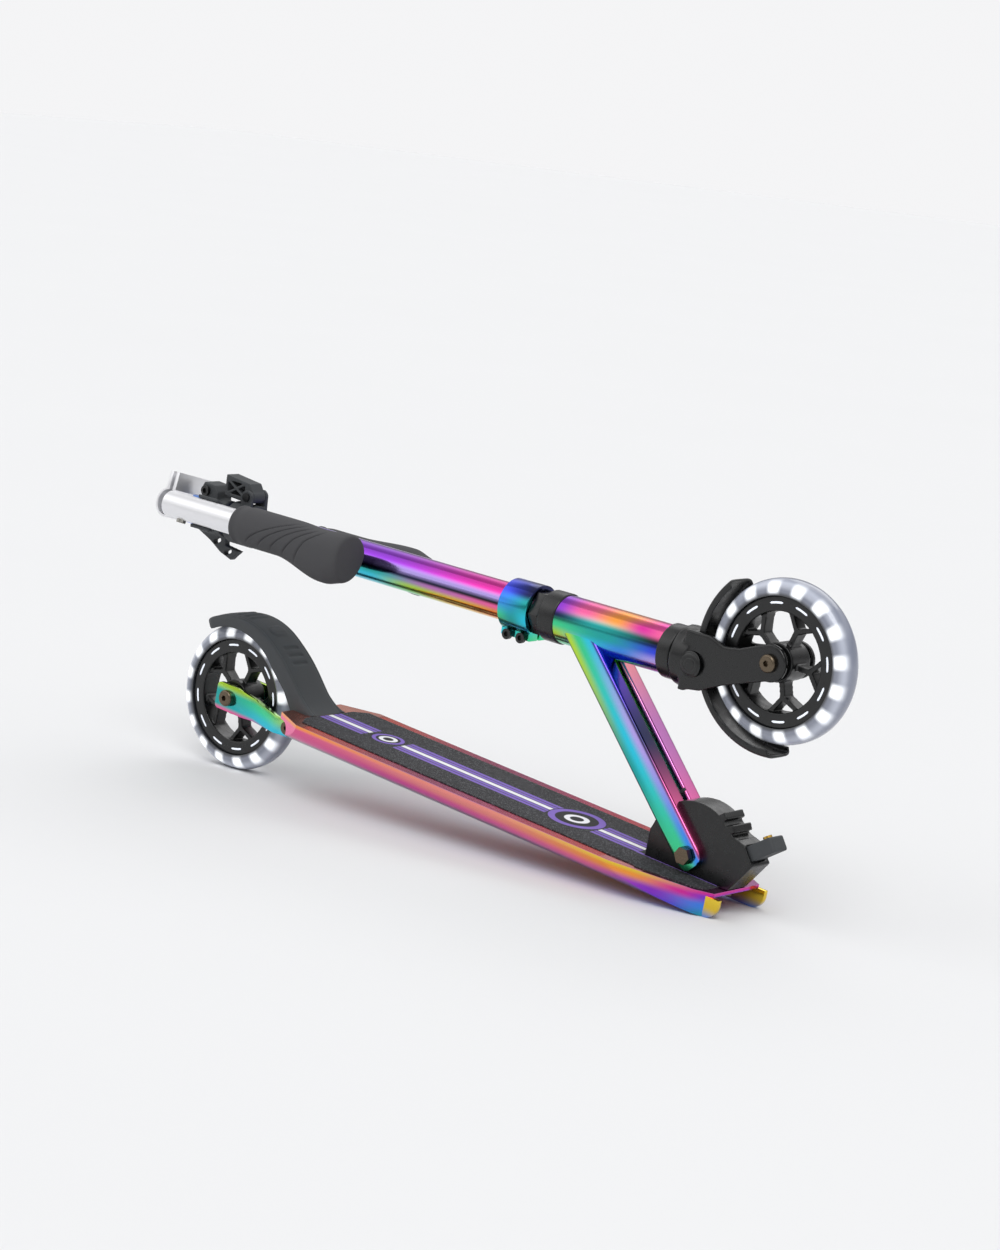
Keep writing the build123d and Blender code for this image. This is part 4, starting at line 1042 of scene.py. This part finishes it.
@dataclass
class Neck:
    """Two rounded box legs, the head tube and the headset cups."""

    width: float = 23.0 * MM
    squareness: float = 7.5
    foot_reach: float = 11.0 * MM
    tube_radius: float = 19.4 * MM
    sink: float = 0.6 * MM
    reach: float = 190.0 * MM

    def build_leg(self, side: str) -> bpy.types.Object:
        """One leg: a rounded box section carried along the leg to a saddle on the head tube.

        The section is a superellipse of power seven and a half. The foot end narrows on a quarter circle, and
        the top of each line stops where it meets the head tube's cylinder.

        Args:
            side: left or right.

        Returns:
            The leg piece.
        """
        low, high = (np.array(v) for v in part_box(f"{side}_neck_leg"))
        angle = np.linspace(0, 2 * np.pi, 72, endpoint=False)
        power = 2 / self.squareness
        across = np.sign(np.cos(angle)) * np.abs(np.cos(angle)) ** power
        depth = np.sign(np.sin(angle)) * np.abs(np.sin(angle)) ** power
        half = (high[1] - low[1]) / 2
        middle = (high[1] + low[1]) / 2
        z = depth * self.width / 2
        y = middle + across * half
        shown = Axes(PIVOT, LEG.x, LEFT, LEG.z)
        start = shown.place(np.stack([np.zeros_like(y), y, z], axis=-1)) - BAR.origin
        radial_y, radial_z = start @ BAR.y, start @ BAR.z
        step_y, step_z = LEG.x @ BAR.y, LEG.x @ BAR.z
        a = step_y**2 + step_z**2
        b = 2 * (radial_y * step_y + radial_z * step_z)
        c = radial_y**2 + radial_z**2 - (self.tube_radius - self.sink) ** 2
        root = np.sqrt(np.clip(b * b - 4 * a * c, 0, None))
        stop = (-b - root) / (2 * a)
        share = np.concatenate([np.linspace(0, 0.06, 10), np.linspace(0.08, 1, 40)])[:, None]
        x = -self.foot_reach + share * (stop + self.foot_reach)
        round_off = np.clip((x + self.foot_reach) / self.foot_reach, 0, 1)
        pinch = np.sqrt(np.clip(1 - (1 - round_off) ** 2, 0, 1)) * 0.55 + 0.45
        local = np.stack([x, np.broadcast_to(y, x.shape), z * pinch], axis=-1)
        obj = grid_mesh(f"{side}_leg_shape", shown.place(local), wrap_v=True)
        close_up(obj)
        shade(obj.data, 50.0)
        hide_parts(f"{side}_neck_leg")
        return obj

    def dress(self) -> None:
        """Build the legs and finish the head."""
        near = [
            Band(-0.0112, [(0.0, INK), (1.0, NAVY)]),
            Band(-0.0085, [(0.0, GREEN), (0.4, TEAL), (1.0, LIME)]),
            Band(-0.001, [(0.0, GREEN), (0.5, CYAN), (1.0, GREEN)]),
            Band(0.0075, [(0.0, SKY), (0.5, LILAC), (1.0, CYAN)]),
            Band(0.0112, [(0.0, ROSE), (0.5, NAVY), (1.0, VIOLET)]),
        ]
        far = [
            Band(-0.0112, [(0.0, ORANGE), (1.0, srgb("8a5a30"))]),
            Band(-0.004, [(0.0, ROSE), (0.35, PALE), (0.8, LIME), (1.0, ORANGE)]),
            Band(0.006, [(0.0, LILAC), (0.35, PALE), (0.75, PALE), (1.0, LIME)]),
            Band(0.011, [(0.0, ROSE), (0.5, MAUVE), (1.0, SALMON)]),
        ]
        shown = Axes(PIVOT, LEG.x, LEFT, LEG.z)
        for side, bands in (("right", near), ("left", far)):
            slick = OilSlick(f"{side}_leg_slick", shown, (0.0, self.reach), bands)
            finish_piece(self.build_leg(side), "neck", slick.build())
        head = [
            Band(-0.017, [(0.0, LILAC), (0.3, CYAN), (0.7, TEAL), (1.0, GREEN)]),
            Band(-0.009, [(0.0, LILAC), (0.35, SKY), (0.65, CYAN), (1.0, LIME)]),
            Band(-0.001, [(0.0, BLUE), (0.5, TEAL), (1.0, GREEN)]),
            Band(0.006, [(0.0, INK), (0.6, TEAL), (1.0, NAVY)]),
            Band(0.0135, [(0.0, ROSE), (0.2, MAGENTA), (0.45, ORANGE), (0.75, ROSE), (1.0, PURPLE)]),
            Band(0.019, [(0.0, MAGENTA), (0.4, ORANGE), (0.7, ROSE), (1.0, PURPLE)]),
        ]
        dress(["head_tube"], OilSlick("head_slick", BAR, (0.103, 0.205), head).build())
        for node in ("lower_headset_cup", "upper_headset_cup"):
            cup = softened(node, 0.4 * MM)
            finish_piece(cup, "neck", Finish.SOFT_BLACK.material())
        plugs = softened("leg_end_plugs", 0.4 * MM)
        finish_piece(plugs, "neck", Finish.BLACK_PLASTIC.material())


@dataclass
class ForkAndFender:
    """The black fork with its round emblem and the front guard."""

    offset: float = 16.2 * MM
    fender_radius: float = 72.4 * MM
    lip_radius: float = 65.6 * MM
    half_width: float = 15.0 * MM
    wall: float = 2.0 * MM
    stations: int = 150
    emblem_radius: float = 10.0 * MM
    emblem_place: tuple[float, float] = (68.5 * MM, -1.0 * MM)
    crown_radius: float = 24.0 * MM

    def build_guard(self) -> bpy.types.Object:
        """The front guard: a channel on an arc about the wheel."""
        centre = (0.0, self.offset)
        top = ring_points(centre, self.fender_radius, -96.5, 45.5, self.stations)
        bottom = ring_points(centre, self.lip_radius, -95.0, 44.0, self.stations)
        width = np.full(self.stations, self.half_width)
        return shell("front_guard", top, bottom, width, BAR, self.wall, None, 4.5, 48)

    def build_emblem(self) -> bpy.types.Object:
        """A round two-ring emblem on the crown's right face.

        It is a disc whose height is a dome with two ring grooves.

        Returns:
            The emblem piece.
        """
        r = np.linspace(0, 1, 26)[:, None]
        angle = np.linspace(0, 2 * np.pi, 64, endpoint=False)[None, :]
        groove = np.clip(1 - np.abs(r - 0.86) / 0.05, 0, 1) + np.clip(1 - np.abs(r - 0.5) / 0.05, 0, 1)
        lift = 0.9 * MM * (1 - r**6) - 0.45 * MM * groove
        x = self.emblem_place[0] + self.emblem_radius * r * np.cos(angle)
        z = self.emblem_place[1] + self.emblem_radius * r * np.sin(angle)
        y = np.sqrt(np.clip(self.crown_radius**2 - z**2, 0, None)) - 0.5 * MM
        y = np.minimum(y, 23.5 * MM) + lift
        obj = grid_mesh("crown_emblem", BAR.place(np.stack([x, y, z + 0 * x], axis=-1)), wrap_v=True)
        close_up(obj)
        shade(obj.data, 40.0)
        return obj

    def dress(self) -> None:
        """Mould the fork and build the guard."""
        fork = moulded("fork", 0.8 * MM, 24)
        finish_piece(fork, "steering", Finish.FORK_BLACK.material())
        finish_piece(self.build_emblem(), "steering", Finish.SOFT_BLACK.material())
        guard = self.build_guard()
        finish_piece(guard, "steering", Finish.SOFT_BLACK.material())
        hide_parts("front_fender")
        dress(["fender_screws"], Finish.ZINC.material())
        dress(["headset_bearings", "steerer_tube"], Finish.ZINC.material())


@dataclass
class Bar:
    """Locknut, collar, telescoping bar, clamp and lever."""

    collar_run: tuple[float, float] = (232.0 * MM, 261.0 * MM)
    tube_run: tuple[float, float] = (262.0 * MM, 600.0 * MM)

    def dress(self) -> None:
        """Mould the clamps and finish the tubes."""
        nut = softened("headset_locknut", 0.7 * MM)
        finish_piece(nut, "steering", Finish.SOFT_BLACK.material())
        collar_bands = [
            Band(-0.024, [(0.0, GREEN), (1.0, CYAN)]),
            Band(-0.008, [(0.0, CYAN), (0.5, TEAL), (1.0, GREEN)]),
            Band(0.006, [(0.0, TEAL), (1.0, SKY)]),
            Band(0.014, [(0.0, NAVY), (1.0, BLUE)]),
        ]
        collar = softened("clamp_collar", 0.6 * MM)
        collar_slick = OilSlick("collar_slick", BAR, self.collar_run, collar_bands)
        finish_piece(collar, "steering", collar_slick.build())
        # The bar's coating colours by height, with a painted dark reflection and a painted highlight among
        # them
        bar_colours_and_painted_reflections = [
            Band(-0.0155, [(0.0, ORANGE), (0.15, GOLD), (0.3, GREEN), (0.45, CYAN), (1.0, SKY)]),
            Band(-0.008, [(0.0, ORANGE), (0.14, GOLD), (0.28, LIME), (0.42, CYAN), (1.0, BLUE)]),
            Band(-0.003, [(0.0, ROSE), (0.2, MAUVE), (0.4, TEAL), (1.0, NAVY)]),
            # painted dark reflection: a near-black band along the middle of the bar
            Band(0.0, [(0.0, INK), (0.5, NAVY), (1.0, BLUE)]),
            # painted highlight: a pale lilac band just above the dark one
            Band(0.004, [(0.0, LILAC), (0.5, LILAC), (1.0, SKY)]),
            Band(0.009, [(0.0, MAGENTA), (0.4, PURPLE), (0.8, VIOLET), (1.0, SKY)]),
            Band(0.0145, [(0.0, MAGENTA), (0.4, PURPLE), (0.7, VIOLET), (0.9, BLUE), (1.0, SKY)]),
        ]
        tube = OilSlick("bar_slick_and_painted_reflections", BAR, self.tube_run, bar_colours_and_painted_reflections)
        dress(["outer_bar_tube", "inner_bar_tube"], tube.build())
        for node, body, cell, passes in (
            ("bar_clamp", "steering", 0.6 * MM, 4),
            ("quick_release_lever", "lever", 0.45 * MM, 3),
            ("handle_holder", "upper_bar", 0.7 * MM, 4),
        ):
            finish_piece(moulded(node, cell, passes), body, Finish.BLACK_PLASTIC.material())
        dress(["clamp_bolts", "holder_screw", "lever_pin"], Finish.SOFT_BLACK.material())
        dress(["height_pin"], Finish.ZINC.material())


@dataclass
class Handles:
    """Cross tube, the two stowed handle tubes and their flared grips.

    A handle's axis lies at reach from the bar's, and a grip starts at start_gap inside its solid's box.
    Places along a grip and the grooves' sizes are in millimetres from the grip's start.
    """

    reach: float = 39.0 * MM
    collar: float = 15.2 * MM
    body: float = 16.6 * MM
    flare: float = 27.0 * MM
    length: float = 125.0 * MM
    turned_flare: float = 19.6 * MM
    start_gap: float = 12.6 * MM
    grooves: int = 5
    groove_first: float = 18.0
    groove_spacing: float = 14.5
    groove_sweep: float = 62.0
    sweep_step: float = 8.0
    groove_half: float = 0.85
    groove_share: float = 0.075
    lip_height: float = 0.9 * MM
    lip_place: float = 2.6
    saddle_depth: float = 1.3 * MM
    saddle_place: float = 92.0
    end_ease: float = 4.0 * MM
    side_swell: float = 1.6 * MM

    def build_grip(self, side: str) -> bpy.types.Object:
        """One grip: egg-shaped sections whose underside swells near the end, with fanned grooves.

        The top and side radii stay nearly level, with a shallow saddle before the end. The underside grows by
        a smooth step to the flare, then eases back. The left handle is stowed turned over, flare up. Five
        grooves run over the end, each a shallow valley whose place along the grip moves with the angle.

        Args:
            side: left or right.

        Returns:
            The grip piece.
        """
        low, high = (np.array(v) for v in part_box(f"{side}_grip"))
        sign = 1.0 if side == "right" else -1.0
        flare = self.flare if side == "right" else self.turned_flare
        corners = np.stack(np.meshgrid(*zip(low, high)), axis=-1).reshape(-1, 3)
        reach_along = (corners - TWISTED.origin) @ TWISTED.x
        start = reach_along.max() - self.start_gap
        s = np.concatenate([np.linspace(0, 5, 8), np.linspace(5.8, 125, 180)]) * MM
        s = s[:, None]
        angle = np.linspace(0, 2 * np.pi, 144, endpoint=False)[None, :]

        def step(low_at: float, high_at: float) -> np.ndarray:
            """A smooth step along the grip between two places in millimetres."""
            t = np.clip((s / MM - low_at) / (high_at - low_at), 0, 1)
            return t * t * (3 - 2 * t)

        rounding = np.sqrt(np.clip(1 - (1 - np.clip(s / (1.6 * MM), 0, 1)) ** 2, 0, 1))
        end_round = np.sqrt(np.clip(1 - (1 - np.clip((self.length - s) / (4.5 * MM), 0, 1)) ** 2, 0, 1))
        radius = self.collar + (self.body - self.collar) * step(4, 16)
        lip = self.lip_height * np.exp(-(((s / MM - self.lip_place) / 2.0) ** 2))
        saddle = self.saddle_depth * np.exp(-(((s / MM - self.saddle_place) / 15.0) ** 2))
        top = radius + lip - saddle + 0.6 * MM * step(104, 120)
        under = radius + lip + (flare - self.body) * step(48, 102) - self.end_ease * step(106, 125)
        sides = radius + lip + self.side_swell * step(66, 106)
        shrink = (0.86 + 0.14 * end_round) * (0.93 + 0.07 * rounding)
        sine, cosine = np.sin(angle), np.cos(angle)
        vertical = np.where(sine >= 0, top, under) * sine
        lateral = sides * cosine
        down = (1 - sine) / 2
        grooves = np.zeros(np.broadcast_shapes(s.shape, angle.shape))
        for index in range(self.grooves):
            sweep = self.groove_sweep - self.sweep_step * index
            place = self.groove_first + self.groove_spacing * index + sweep * (1 - down) ** 1.5
            grooves = grooves + np.exp(-(((s / MM - place) / self.groove_half) ** 2))
        mask = np.clip((down - 0.06) / 0.12, 0, 1) * np.clip((0.93 - down) / 0.15, 0, 1)
        mask = mask * np.clip((117 - s / MM) / 4, 0, 1)
        sink = 1 - self.groove_share * np.clip(grooves, 0, 1) * mask
        along = start - s
        size = shrink * sink
        across = sign * self.reach + lateral * size
        local = np.stack([np.broadcast_to(along, sink.shape), across, sign * vertical * size], axis=-1)
        obj = grid_mesh(f"{side}_grip_rubber", TWISTED.place(local), wrap_v=True)
        close_up(obj)
        shade(obj.data, 50.0)
        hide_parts(f"{side}_grip")
        return obj

    def dress(self) -> None:
        """Build the grips and finish the tubes."""
        cross = softened("cross_tube", 0.4 * MM)
        finish_piece(cross, "upper_bar", Finish.POLISHED.material())
        for side in ("left", "right"):
            grip = self.build_grip(side)
            finish_piece(grip, f"{side}_handle", Finish.GRIP_RUBBER.material())
        dress(["left_handle_tube", "right_handle_tube"], Finish.POLISHED.material())
        dress(["left_handle_button", "right_handle_button"], Finish.ZINC.material())


@dataclass
class Studio:
    """Pale floor, soft lights and the camera."""

    azimuth: float = 38.889
    elevation: float = 9.523
    roll: float = 5.814
    distance: float = 2.628
    aim: tuple[float, float, float] = (0.005, 0.013, 0.1716)
    lens: float = 94.78

    def build_floor(self) -> None:
        """A wide pale floor."""
        bpy.ops.mesh.primitive_plane_add(size=30.0, location=(0, 0, 0))
        floor = bpy.context.object
        floor.name = "studio_floor"
        g = Graph("floor_paper")
        g.link(g.mix(g.noise(2.0), (0.740, 0.744, 0.75), (0.750, 0.754, 0.76)), "Base Color")
        g.set(Roughness=0.9, Specular_IOR_Level=0.1)
        floor.data.materials.append(g.material)

    def build_light(self) -> None:
        """Soft far lights and a banded sky for the metal to mirror."""
        for name, place, angle, power in (
            ("key", (1.4, -1.8, 3.2), 34.0, 1.05),
            ("fill", (-1.8, -1.4, 1.8), 60.0, 0.45),
            ("back", (-0.6, 2.0, 2.6), 45.0, 0.5),
        ):
            data = bpy.data.lights.new(name, "SUN")
            data.energy = power
            data.angle = math.radians(angle)
            lamp = bpy.data.objects.new(name, data)
            lamp.location = place
            lamp.rotation_euler = (Vector(self.aim) - Vector(place)).to_track_quat("-Z", "Y").to_euler()
            bpy.context.scene.collection.objects.link(lamp)
        world = bpy.data.worlds.new("studio")
        bpy.context.scene.world = world
        world.use_nodes = True
        tree = world.node_tree
        tree.nodes.clear()
        coordinates = tree.nodes.new("ShaderNodeTexCoord")
        split = tree.nodes.new("ShaderNodeSeparateXYZ")
        tree.links.new(coordinates.outputs["Generated"], split.inputs[0])
        ramp = tree.nodes.new("ShaderNodeValToRGB")
        tree.links.new(split.outputs["Z"], ramp.inputs[0])
        stops = ((0.0, 0.85), (0.08, 0.55), (0.3, 0.28), (0.5, 0.9), (0.62, 1.15), (0.8, 0.5), (1.0, 0.95))
        while len(ramp.color_ramp.elements) < len(stops):
            ramp.color_ramp.elements.new(0.5)
        for element, (place, value) in zip(ramp.color_ramp.elements, stops):
            element.position = place
            element.color = (value, value, value * 1.01, 1.0)
        path = tree.nodes.new("ShaderNodeLightPath")
        blend = tree.nodes.new("ShaderNodeMix")
        blend.data_type = "RGBA"
        tree.links.new(path.outputs["Is Camera Ray"], blend.inputs[0])
        tree.links.new(ramp.outputs[0], blend.inputs[6])
        blend.inputs[7].default_value = (0.91, 0.91, 0.92, 1.0)
        background = tree.nodes.new("ShaderNodeBackground")
        tree.links.new(blend.outputs[2], background.inputs[0])
        output = tree.nodes.new("ShaderNodeOutputWorld")
        tree.links.new(background.outputs[0], output.inputs[0])
        bpy.context.scene.view_settings.view_transform = "Standard"

    def build_camera(self) -> None:
        """The camera, turned by azimuth and elevation about the aim, then rolled."""
        az, el, roll = (math.radians(v) for v in (self.azimuth, self.elevation, self.roll))
        forward = Vector((-math.sin(az) * math.cos(el), math.cos(az) * math.cos(el), -math.sin(el)))
        level = Vector((math.cos(az), math.sin(az), 0.0))
        upright = level.cross(forward)
        right = level * math.cos(roll) + upright * math.sin(roll)
        up = upright * math.cos(roll) - level * math.sin(roll)
        turn = Matrix((right, up, -forward)).transposed()
        data = bpy.data.cameras.new("camera")
        data.lens = self.lens
        camera = bpy.data.objects.new("camera", data)
        camera.matrix_world = Matrix.Translation(Vector(self.aim) - forward * self.distance) @ turn.to_4x4()
        bpy.context.scene.collection.objects.link(camera)
        bpy.context.scene.camera = camera


def main() -> None:
    """Build the scooter's looks in order, then the studio."""
    logging.basicConfig(level=logging.INFO, format="%(message)s")
    for part in (
        Wheel("rear", REAR_AXLE),
        Wheel("front", FRONT_AXLE),
        Deck(),
        BrakeFender(),
        FoldingBlock(),
        Neck(),
        ForkAndFender(),
        Bar(),
        Handles(),
    ):
        part.dress()
        log.info("%s done", type(part).__name__)
    studio = Studio()
    studio.build_camera()
    studio.build_floor()
    studio.build_light()


if __name__ == "__main__":
    main()
